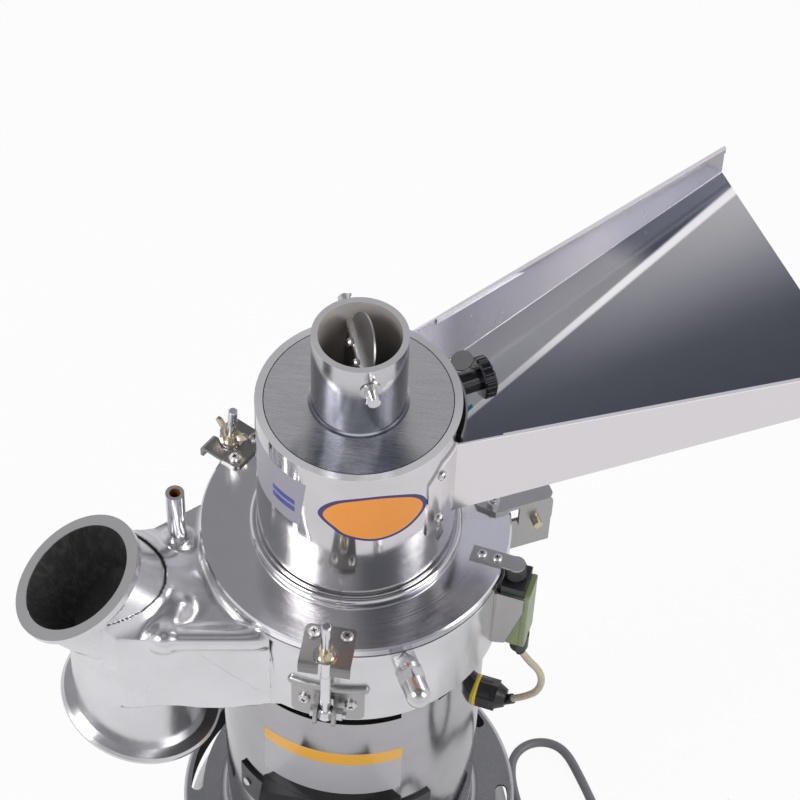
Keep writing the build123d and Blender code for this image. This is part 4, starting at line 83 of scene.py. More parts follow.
BOSS = (148.2, 7.7, 12.0, 8.8, 481.0)
MOUTH_FACING = (math.sin(FLANGE_TILT), math.cos(FLANGE_TILT))
PIPE_ALONG = (math.cos(PIPE_SLOPE), math.sin(PIPE_SLOPE))
PIPE_FACING = PIPE_ALONG[0] * MOUTH_FACING[0] + PIPE_ALONG[1] * MOUTH_FACING[1]


# Geometry helpers


def place(azimuth, u, v=0.0, z=0.0):
    """Point u outward and v to the left along an azimuth, from millimetres to metres."""
    a = math.radians(azimuth)
    return Vector((u * math.cos(a) - v * math.sin(a), u * math.sin(a) + v * math.cos(a), z)) * MM


def turn_z(azimuth):
    """Rotation about the machine's axis."""
    return Matrix.Rotation(math.radians(azimuth), 4, "Z")


def add_object(name, data):
    """New object in the scene."""
    thing = bpy.data.objects.new(name, data)
    bpy.context.scene.collection.objects.link(thing)
    return thing


def piece(name, mesh_maker, body, material, smooth_angle=35.0):
    """New mesh object from a bmesh, riding on a body."""
    mesh = bpy.data.meshes.new(name)
    bmesh.ops.recalc_face_normals(mesh_maker, faces=mesh_maker.faces)
    mesh_maker.to_mesh(mesh)
    mesh_maker.free()
    thing = add_object(name, mesh)
    for finish in material if isinstance(material, list) else [material]:
        mesh.materials.append(finish)
    mesh.shade_smooth()
    sharpen(mesh, smooth_angle)
    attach(thing, body)
    return thing


def sharpen(mesh, angle):
    """Marks the edges that turn more than an angle as sharp."""
    maker = bmesh.new()
    maker.from_mesh(mesh)
    limit = math.radians(angle)
    for edge in maker.edges:
        edge.smooth = len(edge.link_faces) == 2 and edge.calc_face_angle(0.0) < limit
    maker.to_mesh(mesh)
    maker.free()


def grid_solid(maker, top_rows, low_rows, material_of=None):
    """Closed sheet from two equal grids of points, with a face strip round the edge."""
    top, low = ([[maker.verts.new(p) for p in row] for row in rows] for rows in (top_rows, low_rows))
    last_i = len(top) - 1
    last_j = len(top[0]) - 1
    for i in range(last_i):
        for j in range(last_j):
            corners = ((i, j), (i + 1, j), (i + 1, j + 1), (i, j + 1))
            for sheet, cycle in ((top, corners), (low, (corners[0], *corners[:0:-1]))):
                face = maker.faces.new([sheet[a][b] for a, b in cycle])
                if material_of:
                    face.material_index = material_of(i, j)
    rim = [(i, 0) for i in range(last_i)] + [(last_i, j) for j in range(last_j)]
    rim += [(last_i - i, last_j) for i in range(last_i)] + [(0, last_j - j) for j in range(last_j)]
    for (a, b), (c, e) in zip(rim, rim[1:] + rim[:1]):
        maker.faces.new((top[a][b], low[a][b], low[c][e], top[c][e]))


def join_rings(maker, near, far, index=0):
    """Faces between two closed rings of points."""
    for k in range(len(near)):
        after = (k + 1) % len(near)
        maker.faces.new((near[k], near[after], far[after], far[k])).material_index = index


def smooth_loop(points, steps):
    """Closed smooth line through points, as a Catmull-Rom curve."""
    line = []
    count = len(points)
    for i in range(count):
        p0, p1, p2, p3 = (Vector(points[(i + k) % count]) for k in (-1, 0, 1, 2))
        for s in range(steps):
            t = s / steps
            line.append(0.5 * ((2 * p1) + (p2 - p0) * t + (2 * p0 - 5 * p1 + 4 * p2 - p3) * t * t
                               + (3 * p1 - p0 - 3 * p2 + p3) * t ** 3))
    return line


# Material helpers


class Wiring:
    """Short way to wire the shader nodes of one material."""

    def __init__(self, name):
        self.material = bpy.data.materials.new(name)
        self.material.use_nodes = True
        self.tree = self.material.node_tree
        self.shader = self.tree.nodes["Principled BSDF"]
        self.coords = self.node("ShaderNodeTexCoord").outputs["Object"]

    def node(self, kind, **settings):
        """Adds a node and sets its fields."""
        made = self.tree.nodes.new(kind)
        for key, value in settings.items():
            setattr(made, key, value)
        return made

    def put(self, target, value):
        """Links an output to a socket, or sets the socket's own value."""
        if isinstance(value, bpy.types.NodeSocket):
            self.tree.links.new(value, target)
        else:
            target.default_value = value

    def math(self, operation, a, b=0.0, clamp=False):
        """Result of one sum."""
        made = self.node("ShaderNodeMath", operation=operation, use_clamp=clamp)
        self.put(made.inputs[0], a)
        self.put(made.inputs[1], b)
        return made.outputs[0]

    def plus(self, a, b):
        """Sum of two values."""
        return self.math("ADD", a, b)

    def minus(self, a, b, clamp=False):
        """Difference of two values."""
        return self.math("SUBTRACT", a, b, clamp)

    def times(self, a, b):
        """Product of two values."""
        return self.math("MULTIPLY", a, b)

    def over(self, a, b):
        """Quotient of two values."""
        return self.math("DIVIDE", a, b)

    def largest(self, a, b):
        """Larger of two values."""
        return self.math("MAXIMUM", a, b)

    def is_below(self, a, b):
        """1 where a value is smaller than another, else 0."""
        return self.math("LESS_THAN", a, b)

    def is_above(self, a, b):
        """1 where a value is larger than another, else 0."""
        return self.math("GREATER_THAN", a, b)

    def length(self, x, y):
        """Length of a flat vector."""
        return self.math("SQRT", self.plus(self.times(x, x), self.times(y, y)))

    def split(self, vector):
        """The three numbers of a vector."""
        made = self.node("ShaderNodeSeparateXYZ")
        self.put(made.inputs[0], vector)
        return made.outputs

    def join(self, x, y, z):
        """Vector of three numbers."""
        made = self.node("ShaderNodeCombineXYZ")
        for socket, value in zip(made.inputs, (x, y, z)):
            self.put(socket, value)
        return made.outputs[0]

    def stretch(self, vector, scale, turn=(0.0, 0.0, 0.0)):
        """Vector turned and scaled, for a grain that runs one way."""
        made = self.node("ShaderNodeMapping")
        self.put(made.inputs["Vector"], vector)
        made.inputs["Rotation"].default_value = turn
        made.inputs["Scale"].default_value = scale
        return made.outputs[0]

    def axes(self, azimuth=0.0):
        """Object coordinates in millimetres: outward along an azimuth, to its left, and up."""
        return self.split(self.stretch(self.coords, (1 / MM,) * 3, (0, 0, -math.radians(azimuth))))

    def noise(self, vector, scale, detail=3.0, roughness=0.5):
        """Soft noise between 0 and 1."""
        made = self.node("ShaderNodeTexNoise")
        self.put(made.inputs["Vector"], vector)
        made.inputs["Scale"].default_value = scale
        made.inputs["Detail"].default_value = detail
        made.inputs["Roughness"].default_value = roughness
        return made.outputs["Fac"]

    def cells(self, vector, scale):
        """Distance to the nearest of many scattered points."""
        made = self.node("ShaderNodeTexVoronoi")
        self.put(made.inputs["Vector"], vector)
        made.inputs["Scale"].default_value = scale
        return made.outputs["Distance"]

    def remap(self, value, a0, a1, b0=0.0, b1=1.0, smooth=False):
        """Value moved from one range to another and kept inside it."""
        made = self.node("ShaderNodeMapRange", interpolation_type="SMOOTHSTEP" if smooth else "LINEAR")
        for socket, number in zip(made.inputs[:5], (value, a0, a1, b0, b1)):
            self.put(socket, number)
        return made.outputs[0]

    def mix(self, factor, a, b):
        """Blend of two colours."""
        made = self.node("ShaderNodeMix", data_type="RGBA")
        self.put(made.inputs[0], factor)
        self.put(made.inputs[6], a)
        self.put(made.inputs[7], b)
        return made.outputs[2]

    def bump(self, height, strength, distance, under=None):
        """Normal that follows a height."""
        made = self.node("ShaderNodeBump")
        made.inputs["Strength"].default_value = strength
        made.inputs["Distance"].default_value = distance
        self.put(made.inputs["Height"], height)
        if under is not None:
            self.put(made.inputs["Normal"], under)
        return made.outputs[0]

    def set(self, **values):
        """Sets or links the shader's sockets by their names, with _ for a space."""
        for key, value in values.items():
            self.put(self.shader.inputs[key.replace("_", " ")], value)

    def now(self, socket):
        """What the shader takes at a socket so far."""
        return self.shader.inputs[socket].links[0].from_socket


def shade(colour, factor=1.0):
    """Colour with its alpha, made darker or lighter."""
    return (colour[0] * factor, colour[1] * factor, colour[2] * factor, 1.0)


def metal(name, colour, roughness, grain=None, grain_depth=0.0, wave=0.0, pits=0.0, smear=0.35,
          dull=0.86, anisotropic=0.0, turn=0.0):
    """Bare metal with uneven polish; grain is turned, upright, sheet or none."""
    w = Wiring(name)
    patches = w.noise(w.coords, 11.0, 4.0, 0.6)
    smears = w.noise(w.stretch(w.coords, (1.0, 1.0, 0.35)), 46.0, 5.0, 0.62)
    w.set(Metallic=1.0, Base_Color=w.mix(w.remap(patches, 0.35, 0.7), shade(colour), shade(colour, dull)))
    rough = w.remap(smears, 0.3, 0.75, roughness * (1 - smear * 0.5), roughness * (1 + smear))
    normal = None
    if wave:
        normal = w.bump(w.noise(w.coords, 24.0, 2.0, 0.4), 1.0, wave)
    if grain:
        if grain == "turned":
            x, y, z = w.split(w.coords)
            lines = w.noise(w.join(w.length(x, y), z, 0.0), 1500.0, 3.0, 0.7)
        elif grain == "upright":
            lines = w.noise(w.stretch(w.coords, (1.0, 1.0, 0.03)), 1300.0, 2.0, 0.6)
        else:
            along = w.stretch(w.coords, (0.02, 1.0, 1.0), (0, 0, -math.radians(turn)))
            lines = w.noise(along, 1500.0, 2.0, 0.6)
        rough = w.plus(rough, w.remap(lines, 0.35, 0.7, -0.3 * roughness, 0.45 * roughness))
        normal = w.bump(lines, 1.0, grain_depth, normal)
    if pits:
        normal = w.bump(w.remap(w.cells(w.coords, 150.0), 0.05, 0.11), 1.0, pits, normal)
    w.set(Roughness=rough)
    if normal is not None:
        w.set(Normal=normal)
    if anisotropic:
        tangent = w.node("ShaderNodeTangent", direction_type="RADIAL", axis="Z")
        w.set(Anisotropic=anisotropic, Tangent=tangent.outputs[0])
    return w


def plastic(name, colour, roughness, texture=0.0, scale=900.0, coat=0.0, wear=0.12):
    """Moulded plastic, rubber or paint with fine texture and faint handling marks."""
    w = Wiring(name)
    marks = w.noise(w.coords, 60.0, 5.0, 0.65)
    w.set(Base_Color=w.mix(w.remap(marks, 0.4, 0.75), shade(colour), shade(colour, 1.0 + wear)),
          Roughness=w.remap(marks, 0.3, 0.75, roughness * 0.85, min(1.0, roughness * 1.2)),
          Coat_Weight=coat, Coat_Roughness=0.08)
    if texture:
        w.set(Normal=w.bump(w.noise(w.coords, scale, 3.0, 0.6), 1.0, texture))
    return w


# Finishes, with their places in millimetres

MOUTH_BORE_R = 50.2
MOUTH_FACE_R = 66.0
MOUTH_FACE_DEPTH = 0.5
MOUTH_BORE_DEPTH = 0.6
LOW_BORE_R = 57.5
ELBOW_BORE_R = 49.3
BORE_TOP_Z = 452.0
# Painted shade inside the outlet's bores, near black with lighter streaks
BORE_PAINTED_SHADE = (0.045, 0.042, 0.040, 1)
BORE_PAINTED_SHADE_STREAK = (0.105, 0.10, 0.095, 1)
MOUTH_SATIN = (0.40, 0.39, 0.39, 1)


def cast_finish():
    """Hand-polished cast aluminium, satin on the mouth's face, rough inside the bores and painted dark there
    as shade.
    """
    w = metal("polished_casting", (0.74, 0.73, 0.745), 0.21, wave=0.00006, pits=0.00003, smear=0.4)
    inside, face = outlet_masks(w)
    rough_skin = w.noise(w.coords, 420.0, 5.0, 0.7)
    streaks = w.noise(w.stretch(w.coords, (1.0, 1.0, 0.25), (0.3, 0.5, 0.2)), 210.0, 4.0, 0.6)
    # the bores are painted dark as shade, with lighter streaks
    dark = w.mix(w.remap(streaks, 0.45, 0.75), BORE_PAINTED_SHADE, BORE_PAINTED_SHADE_STREAK)
    base = w.mix(face, w.now("Base Color"), MOUTH_SATIN)
    rough = w.plus(w.times(face, 0.2), w.now("Roughness"))
    w.set(Base_Color=w.mix(inside, base, dark), Roughness=w.plus(w.times(inside, 0.36), rough),
          Normal=w.bump(w.times(rough_skin, inside), 1.0, 0.0006, w.now("Normal")),
          Metallic=w.remap(inside, 0.0, 1.0, 0.90, 0.40))
    return w.material


def outlet_masks(w):
    """1 inside the outlet's slanted and upright bores, and 1 on the face of its mouth."""
    d, n, z = w.axes(OUTLET_AZ)
    from_d, from_n, from_z = (w.minus(value, centre) for value, centre in zip((d, n, z), FLANGE_CENTRE))
    depth = w.plus(w.times(from_d, MOUTH_FACING[0]), w.times(from_z, MOUTH_FACING[1]))
    travel = w.over(depth, PIPE_FACING)
    across = w.length(w.minus(from_d, w.times(travel, PIPE_ALONG[0])),
                      w.minus(from_z, w.times(travel, PIPE_ALONG[1])))
    radius = w.length(across, from_n)
    slanted = w.times(w.is_below(radius, MOUTH_BORE_R), w.is_below(depth, -MOUTH_BORE_DEPTH))
    face = w.times(w.is_below(radius, MOUTH_FACE_R), w.is_above(depth, -MOUTH_FACE_DEPTH))
    upright = w.length(w.minus(d, ELBOW[0]), w.minus(n, ELBOW[1]))
    wide = w.remap(z, LOW_RIM[1], ELBOW[2], LOW_BORE_R, ELBOW_BORE_R)
    lower = w.times(w.is_below(upright, wide), w.is_below(z, BORE_TOP_Z))
    return w.largest(slanted, lower), face


STUB_METAL = (0.74, 0.74, 0.76)
STUB_INSIDE_R = 4.7
OIL_BROWN = (0.30, 0.11, 0.025, 1)


def stub_finish():
    """Bright tube, brown with oil inside."""
    w = metal("chromed_tube", STUB_METAL, 0.12, wave=0.0001)
    d, n, _ = w.axes(OUTLET_AZ)
    inside = w.is_below(w.length(w.minus(d, BOSS[0]), w.minus(n, BOSS[1])), STUB_INSIDE_R)
    w.set(Base_Color=w.mix(inside, shade(STUB_METAL), OIL_BROWN),
          Metallic=w.minus(1.0, w.times(inside, 0.8)))
    return w.material


def facing_share(w, azimuth):
    """From 1 towards an azimuth to -1 away from it, then the distance from the axis and the height."""
    x, y, z = w.axes()
    radius = w.length(x, y)
    side = math.radians(azimuth)
    share = w.plus(w.times(x, math.cos(side)), w.times(y, math.sin(side)))
    return w.over(share, w.largest(radius, 1.0)), radius, z


NECK_INSIDE_R = 33.4
NECK_TOP_Z = 733.0
# Painted slate reflection on the neck's front below a slanted line: the line's heights, the azimuth it faces,
# and its slates
NECK_REFLECTION_EDGE_Z = (723.0, 703.0)
NECK_REFLECTION_AZ = -80.0
NECK_PAINTED_REFLECTIONS = ((0.15, 0.155, 0.18, 1), (0.50, 0.51, 0.55, 1))
NECK_INSIDE = (0.62, 0.575, 0.54, 1)
NECK_RIM = (0.62, 0.61, 0.62, 1)


def neck_finish():
    """Brushed tube: painted slate reflection below, brighter above, satin rim, dull and brownish inside."""
    w = metal("brushed_neck", (0.64, 0.63, 0.645), 0.17, "turned", 0.000012, 0.0001)
    share, radius, z = facing_share(w, NECK_REFLECTION_AZ)
    edge = w.remap(share, 0.4, 1.0, *NECK_REFLECTION_EDGE_Z)
    low = w.remap(w.minus(z, edge), -5.0, 3.0, 1.0, 0.0, True)
    low = w.times(low, w.remap(share, -0.4, 0.2))
    inside = w.remap(radius, NECK_INSIDE_R - 0.2, NECK_INSIDE_R, 1.0, 0.0)
    rim = w.is_above(z, NECK_TOP_Z - 0.4)
    # painted slate reflection, darker where the tube faces its azimuth
    slate = w.mix(w.remap(share, 0.86, 0.97, smooth=True), *NECK_PAINTED_REFLECTIONS)
    base = w.mix(inside, w.mix(low, w.now("Base Color"), slate), NECK_INSIDE)
    dull = w.largest(w.times(inside, 0.55), w.times(rim, 0.35))
    w.set(Base_Color=w.mix(rim, base, NECK_RIM), Metallic=w.minus(1.0, dull),
          Roughness=w.plus(w.now("Roughness"), w.times(w.largest(inside, rim), 0.22)))
    return w.material


COVER_GROOVE_R = 74.8
# Painted slate reflection on the disc's front: the azimuth it faces and its slates; then the painted shade of
# the edge groove
COVER_REFLECTION_AZ = -84.0
COVER_PAINTED_REFLECTIONS = ((0.27, 0.28, 0.32, 1), (0.60, 0.60, 0.63, 1))
GROOVE_PAINTED_SHADE = (0.03, 0.03, 0.03, 1)


def cover_finish():
    """Brushed disc with a painted slate reflection at the front, and painted shade in the groove round its
    edge.
    """
    w = metal("brushed_cover", (0.86, 0.84, 0.86), 0.30, "sheet", 0.0000007, smear=0.1, dull=0.98, turn=-6.0)
    share, radius, _ = facing_share(w, COVER_REFLECTION_AZ)
    front = w.remap(share, 0.62, 0.90, smooth=True)
    # lighter patches in the painted reflection
    lobe = w.remap(w.noise(w.stretch(w.coords, (1.0, 0.25, 1.0)), 55.0, 1.0, 0.3), 0.44, 0.58, 0.0, 0.9)
    base = w.mix(front, w.now("Base Color"), w.mix(lobe, *COVER_PAINTED_REFLECTIONS))
    # painted shade in the groove and out to the edge
    groove = w.remap(radius, COVER_GROOVE_R - 0.15, COVER_GROOVE_R)
    w.set(Base_Color=w.mix(groove, base, GROOVE_PAINTED_SHADE))
    return w.material


# Painted reflections on the turned lid: the azimuths they face and their colours
LID_DARK_REFLECTION_AZ = -58.0
LID_PALE_REFLECTION_AZ = -100.0
LID_DARK_REFLECTION = (0.40, 0.40, 0.44, 1)
LID_PALE_REFLECTION = (0.98, 0.95, 0.97, 1)


def lid_finish():
    """Turned plate with a painted pale reflection in front and a painted dark reflection at the front's
    right.
    """
    w = metal("turned_lid", (0.78, 0.765, 0.78), 0.15, "turned", 0.0000015, 0.00008, 0.00002, 0.25,
              dull=0.96, anisotropic=0.2)
    # painted dark and pale reflections by the azimuth the plate faces
    dark = w.remap(facing_share(w, LID_DARK_REFLECTION_AZ)[0], 0.90, 0.985, smooth=True)
    pale = w.remap(facing_share(w, LID_PALE_REFLECTION_AZ)[0], 0.93, 0.99, smooth=True)
    w.set(Base_Color=w.mix(dark, w.mix(pale, w.now("Base Color"), LID_PALE_REFLECTION), LID_DARK_REFLECTION))
    return w.material


DRUM_EDGE = (0.80, 0.79, 0.80, 1)


def drum_finish(colour):
    """Polished sheet with a pale satin top edge."""
    w = metal("polished_drum", colour, 0.09, "turned", 0.000003, 0.00015, 0.0, 0.5)
    top = w.is_above(w.axes()[2], DRUM_TOP_Z - 0.3)
    w.set(Base_Color=w.mix(top, w.now("Base Color"), DRUM_EDGE), Metallic=w.minus(1.0, w.times(top, 0.45)))
    return w.material


# Straight lines of the hopper from above, each as two (u, v) points
NEAR_FOLD = ((50.0, -3.3), (394.0, 106.6))
FAR_FOLD = ((50.0, 58.0), (394.0, 130.5))
NEAR_WALL = ((64.0, -60.0), (394.0, -131.5))
# Heights along the hopper, each as two (u, z) points
WALL_TOPS = ((64.0, 638.0), (394.0, 663.0))
FAR_FOLD_Z = ((64.0, 566.0), (394.0, 632.0))
# Widths, depths and stretches of u of the hopper's painted highlights, painted reflections and film
NEAR_FOLD_WIDTHS = (3.2, 6.5)
FAR_FOLD_WIDTHS = (2.6, 3.2)
FOLD_RISE = 2.2
FAR_WALL_DEPTH = 4.0
NEAR_WALL_DEPTH = 1.5
EDGE_DEPTH = 1.4
FAR_REFLECTION_U = (110.0, 394.0)
FAR_REFLECTION_WIDTHS = (22.0, 140.0)
STRIP_U = (120.0, 250.0)
STRIP_CHANGE = (262.0, 298.0)
FAR_WALL_U = ((75.0, 120.0), (180.0, 270.0))
FILM_U = (70.0, 112.0)
FILM_ASIDE = 4.2
FILM_HALF = 1.8
# Colours of the hopper's parts, from its low end to its high end where there are several: painted reflections
# on floor, strip and walls, a painted highlight, and the film's own colour
FLOOR_PAINTED_REFLECTION = (0.70, 0.71, 0.80, 1)
STRIP_PAINTED_REFLECTIONS = ((0.96, 0.95, 0.99, 1), (0.72, 0.71, 0.75, 1), (0.45, 0.47, 0.56, 1))
FAR_WALL_PAINTED_REFLECTIONS = ((0.84, 0.80, 0.87, 1), (0.29, 0.28, 0.31, 1), (0.40, 0.385, 0.405, 1))
NEAR_WALL_PAINTED_REFLECTION = (0.76, 0.725, 0.735, 1)
PAINTED_HIGHLIGHT = (0.97, 0.94, 0.96, 1)
FILM_COLOUR = (0.05, 0.42, 0.55, 1)


def line_across(w, u, line):
    """v or z of a straight hopper line at each u."""
    (u0, v0), (u1, v1) = line
    slope = (v1 - v0) / (u1 - u0)
    return w.plus(w.times(u, slope), v0 - slope * u0)


def fold_highlight_mask(w, u, beside, line, widths):
    """1 along a fold's painted highlight, fading to 0 at its half width."""
    half = w.remap(u, line[0][0], line[1][0], *widths)
    return w.remap(w.over(w.math("ABSOLUTE", beside), half), 0.25, 1.0, 1.0, 0.0, True)


def hopper_finish(colour):
    """Mirror sheet with painted reflections: slate floor, pale at its far end, grey strip and pale wall, with
    painted highlights along the folds and top edges.
    """
    w = metal("sheet_steel", colour, 0.13, wave=0.00002, pits=0.000012, smear=0.05, dull=1.0)
    u, v, z = w.axes(HOPPER_AZ)
    below = w.minus(line_across(w, u, NEAR_FOLD), v)
    beyond = w.minus(v, line_across(w, u, FAR_FOLD))
    floor = w.remap(below, -0.5, 0.5)
    low = w.is_below(w.minus(z, line_across(w, u, FAR_FOLD_Z)), FOLD_RISE)
    wall = w.times(w.minus(1.0, low), w.is_above(beyond, -FAR_WALL_DEPTH))
    # painted pale reflection widening along the floor's far end
    far_reflection = w.remap(w.over(below, w.remap(u, *FAR_REFLECTION_U, *FAR_REFLECTION_WIDTHS)), 0.0, 1.0, 1.0, 0.0, True)
    far_reflection = w.times(w.times(floor, far_reflection), w.remap(u, *FAR_REFLECTION_U))
    # painted reflections: strip from pale to grey to slate along u, bluish floor, far wall pale then dark
    # then mid grey, pale near wall
    past = w.remap(w.plus(u, w.times(beyond, 0.6)), *STRIP_CHANGE, smooth=True)
    strip = w.mix(w.remap(u, *STRIP_U), *STRIP_PAINTED_REFLECTIONS[:2])
    base = w.mix(floor, w.mix(past, strip, STRIP_PAINTED_REFLECTIONS[2]), FLOOR_PAINTED_REFLECTION)
    far = w.mix(w.remap(u, *FAR_WALL_U[0], smooth=True), *FAR_WALL_PAINTED_REFLECTIONS[:2])
    far = w.mix(w.remap(u, *FAR_WALL_U[1], smooth=True), far, FAR_WALL_PAINTED_REFLECTIONS[2])
    base = w.mix(wall, base, far)
    outside = w.remap(w.minus(v, line_across(w, u, NEAR_WALL)), 0.0, NEAR_WALL_DEPTH, 1.0, 0.0)
    base = w.mix(outside, base, NEAR_WALL_PAINTED_REFLECTION)
    # painted highlights along both folds and, at half strength, along the walls' top edges
    top = w.is_above(w.minus(z, line_across(w, u, WALL_TOPS)), -EDGE_DEPTH)
    bright = w.largest(fold_highlight_mask(w, u, below, NEAR_FOLD, NEAR_FOLD_WIDTHS),
                       w.times(low, fold_highlight_mask(w, u, beyond, FAR_FOLD, FAR_FOLD_WIDTHS)))
    bright = w.largest(bright, w.times(top, 0.5))
    base = w.mix(w.largest(bright, far_reflection), base, PAINTED_HIGHLIGHT)
    film = w.is_below(w.math("ABSOLUTE", w.plus(below, FILM_ASIDE)), FILM_HALF)
    film = w.times(film, w.times(w.is_above(u, FILM_U[0]), w.is_below(u, FILM_U[1])))
    on_strip = w.minus(w.minus(1.0, floor), wall, clamp=True)
    soft = w.times(on_strip, w.remap(past, 0.0, 1.0, 0.36, 0.09))
    soft = w.plus(w.plus(soft, w.times(wall, 0.45)), w.times(far_reflection, 0.32))
    blur = w.largest(w.times(bright, 0.3), w.times(wall, 0.14))
    w.set(Base_Color=w.mix(film, base, FILM_COLOUR), Roughness=w.plus(w.now("Roughness"), blur),
          Metallic=w.minus(w.minus(1.0, soft), w.times(bright, 0.95), clamp=True))
    return w.material


PAN_INSIDE_R = 156.4
PAN_INSIDE_Z = 59.2
# Painted shade inside the pan, which shows through the slots
PAN_PAINTED_SHADE = (0.012, 0.012, 0.013, 1)


def pan_finish():
    """Silver sheet, unpolished on the inside and round the slots, and painted near black there as shade."""
    w = metal("silver_pan", (0.60, 0.595, 0.61), 0.27, wave=0.00012, pits=0.00002, smear=0.12)
    x, y, z = w.axes()
    inside = w.times(w.is_below(w.length(x, y), PAN_INSIDE_R), w.is_below(z, PAN_INSIDE_Z))
    # the inside is painted near black as shade and made rougher
    w.set(Base_Color=w.mix(inside, w.now("Base Color"), PAN_PAINTED_SHADE),
          Roughness=w.plus(w.now("Roughness"), w.times(inside, 0.35)),
          Metallic=w.minus(1.0, w.times(inside, 0.9)))
    return w.material


# Name, colour, roughness, grain, grain depth, wave, pits, smear and dull of the even metals
METALS = {
    "housing": ("polished_housing", (0.46, 0.45, 0.465), 0.11, "turned", 0.000004, 0.00022, 0.00003, 0.5),
    "satin": ("satin_steel", (0.45, 0.44, 0.435), 0.36, None, 0.0, 0.00004, 0.0, 0.15, 0.96),
    "dull": ("dull_steel", (0.29, 0.28, 0.275), 0.36, None, 0.0, 0.00006, 0.00002, 0.2),
    "plated": ("plated_steel", (0.72, 0.71, 0.71), 0.24, None, 0.0, 0.0001, 0.00004),
    "chrome": ("chromed_steel", (0.78, 0.78, 0.80), 0.08, None, 0.0, 0.0002),
    "brassy": ("passivated_steel", (0.66, 0.58, 0.43), 0.28, None, 0.0, 0.0007, 0.00012),
    "machined": ("machined_steel", (0.50, 0.50, 0.51), 0.33, "turned", 0.00001),
    "core": ("varnished_core", (0.16, 0.13, 0.11), 0.5, "upright", 0.00002),
}
# Name, colour, roughness, texture depth, texture scale and coat
PLASTICS = {
    "paint": ("silver_paint", (0.56, 0.56, 0.57), 0.35, 0.00002, 500.0, 0.2),
    "rubber": ("black_rubber", (0.022, 0.022, 0.023), 0.62, 0.00003, 700.0),
    "gasket": ("pale_gasket", (0.72, 0.72, 0.69), 0.6, 0.00002),
    "yellow": ("yellow_seal", (0.80, 0.62, 0.06), 0.45, 0.00002),
    "black": ("black_plastic", (0.016, 0.016, 0.018), 0.36, 0.00002, 1400.0),
    "gloss": ("black_gloss", (0.008, 0.008, 0.009), 0.16, 0.00001, 300.0, 0.6),
    "green": ("olive_plastic", (0.215, 0.262, 0.125), 0.38, 0.000015, 1100.0, 0.1),
    "red": ("red_plastic", (0.55, 0.02, 0.018), 0.2, 0.0, 300.0, 0.4),
    "cord": ("grey_cord", (0.205, 0.205, 0.215), 0.42, 0.00003, 420.0),
}
FINISH_NODES = {
    "casting": "grinding_chamber",
    "pan": "base_pan",
    "lid": "lid_disc",
    "drum": "feed_drum",
    "cover": "drum_cover",
    "stub": "pipe_stub",
    "neck": "feed_neck",
    "sheet": "hopper",
    "housing": "motor_housing",
    "satin": "damper_disc gate_plate clamp_brackets hinge_leaf hinge_bracket interlock_tab switch_bracket",
    "dull": "clamp_plates",
    "plated": "body_screws rotor_fasteners lid_screws damper_axle damper_fasteners chamber_screws "
              "pivot_pins side_stud dome_nut",
    "chrome": "shaft_bearings front_swing_bolt rear_swing_bolt",
    "brassy": "front_wing_nut rear_wing_nut hinge_pin",
    "machined": "motor_shaft rotor_disc hammers liner_ring tooth_ring",
    "core": "stator motor_rotor",
    "paint": "end_bell",
    "rubber": "rubber_feet switch_plunger",
    "gasket": "lid_gasket switch_lead",
    "yellow": "gland_ring",
    "black": "cooling_fan switch_head switch_gland housing_gland control_box control_panel mains_gland "
             "mains_plug",
    "gloss": "clamp_knob power_rocker",
    "green": "switch_body",
    "red": "reset_button",
    "cord": "mains_cord cord_coil",
}


def build_finishes():
    """Every finish by its name."""
    colours = bpy.context.scene.machine_colours
    made = {"casting": cast_finish(), "pan": pan_finish(), "lid": lid_finish(), "cover": cover_finish(),
            "stub": stub_finish(), "neck": neck_finish(), "drum": drum_finish(tuple(colours.polished)),
            "sheet": hopper_finish(tuple(colours.sheet))}
    made.update((key, metal(*values).material) for key, values in METALS.items())
    made.update((key, plastic(*values).material) for key, values in PLASTICS.items())
    return made


# Settings


class MachineColours(PropertyGroup):
    """Colours of the main finishes and of the plain labels."""

    polished: FloatVectorProperty(name="Polished metal", description="Tint of the drum's polished sheet",
                                  subtype="COLOR", size=3, default=(0.70, 0.685, 0.70))
    sheet: FloatVectorProperty(name="Sheet metal", description="Tint of the hopper's sheet",
                               subtype="COLOR", size=3, default=(0.74, 0.72, 0.735))
    label: FloatVectorProperty(name="Drum label", description="Field of the label on the drum",
                               subtype="COLOR", size=3, default=(0.82, 0.30, 0.045))
    label_border: FloatVectorProperty(name="Label border", description="Border of the drum's label",
                                      subtype="COLOR", size=3, default=(0.045, 0.03, 0.14))
    notice_band: FloatVectorProperty(name="Sheet band", description="Band along the housing's sheet",
                                     subtype="COLOR", size=3, default=(0.80, 0.40, 0.04))


class MachineSizes(PropertyGroup):
    """Sizes that only the looks have."""

    label_lift: FloatProperty(name="Label lift", description="Thickness of a label on the metal",
                              subtype="DISTANCE", default=0.12 * MM)
    notice_half: FloatProperty(name="Sheet half width", description="Half of the housing sheet's angle",
                               default=31.4)
    lead_strands: IntProperty(name="Braid strands", description="Strands each way round the switch lead",
                              default=8, min=4, max=16)


class StageSettings(PropertyGroup):
    """Lamps, floor and camera."""

    key_power: FloatProperty(name="Key lamp", description="Power of the lamp at the left", default=34.0)
    fill_power: FloatProperty(name="Fill lamp", description="Power of the lamp at the right", default=20.0)
    floor: FloatVectorProperty(name="Floor", description="Colour of the floor", subtype="COLOR", size=3,
                               default=(0.86, 0.85, 0.86))


# Labels, with azimuths in degrees and heights in millimetres

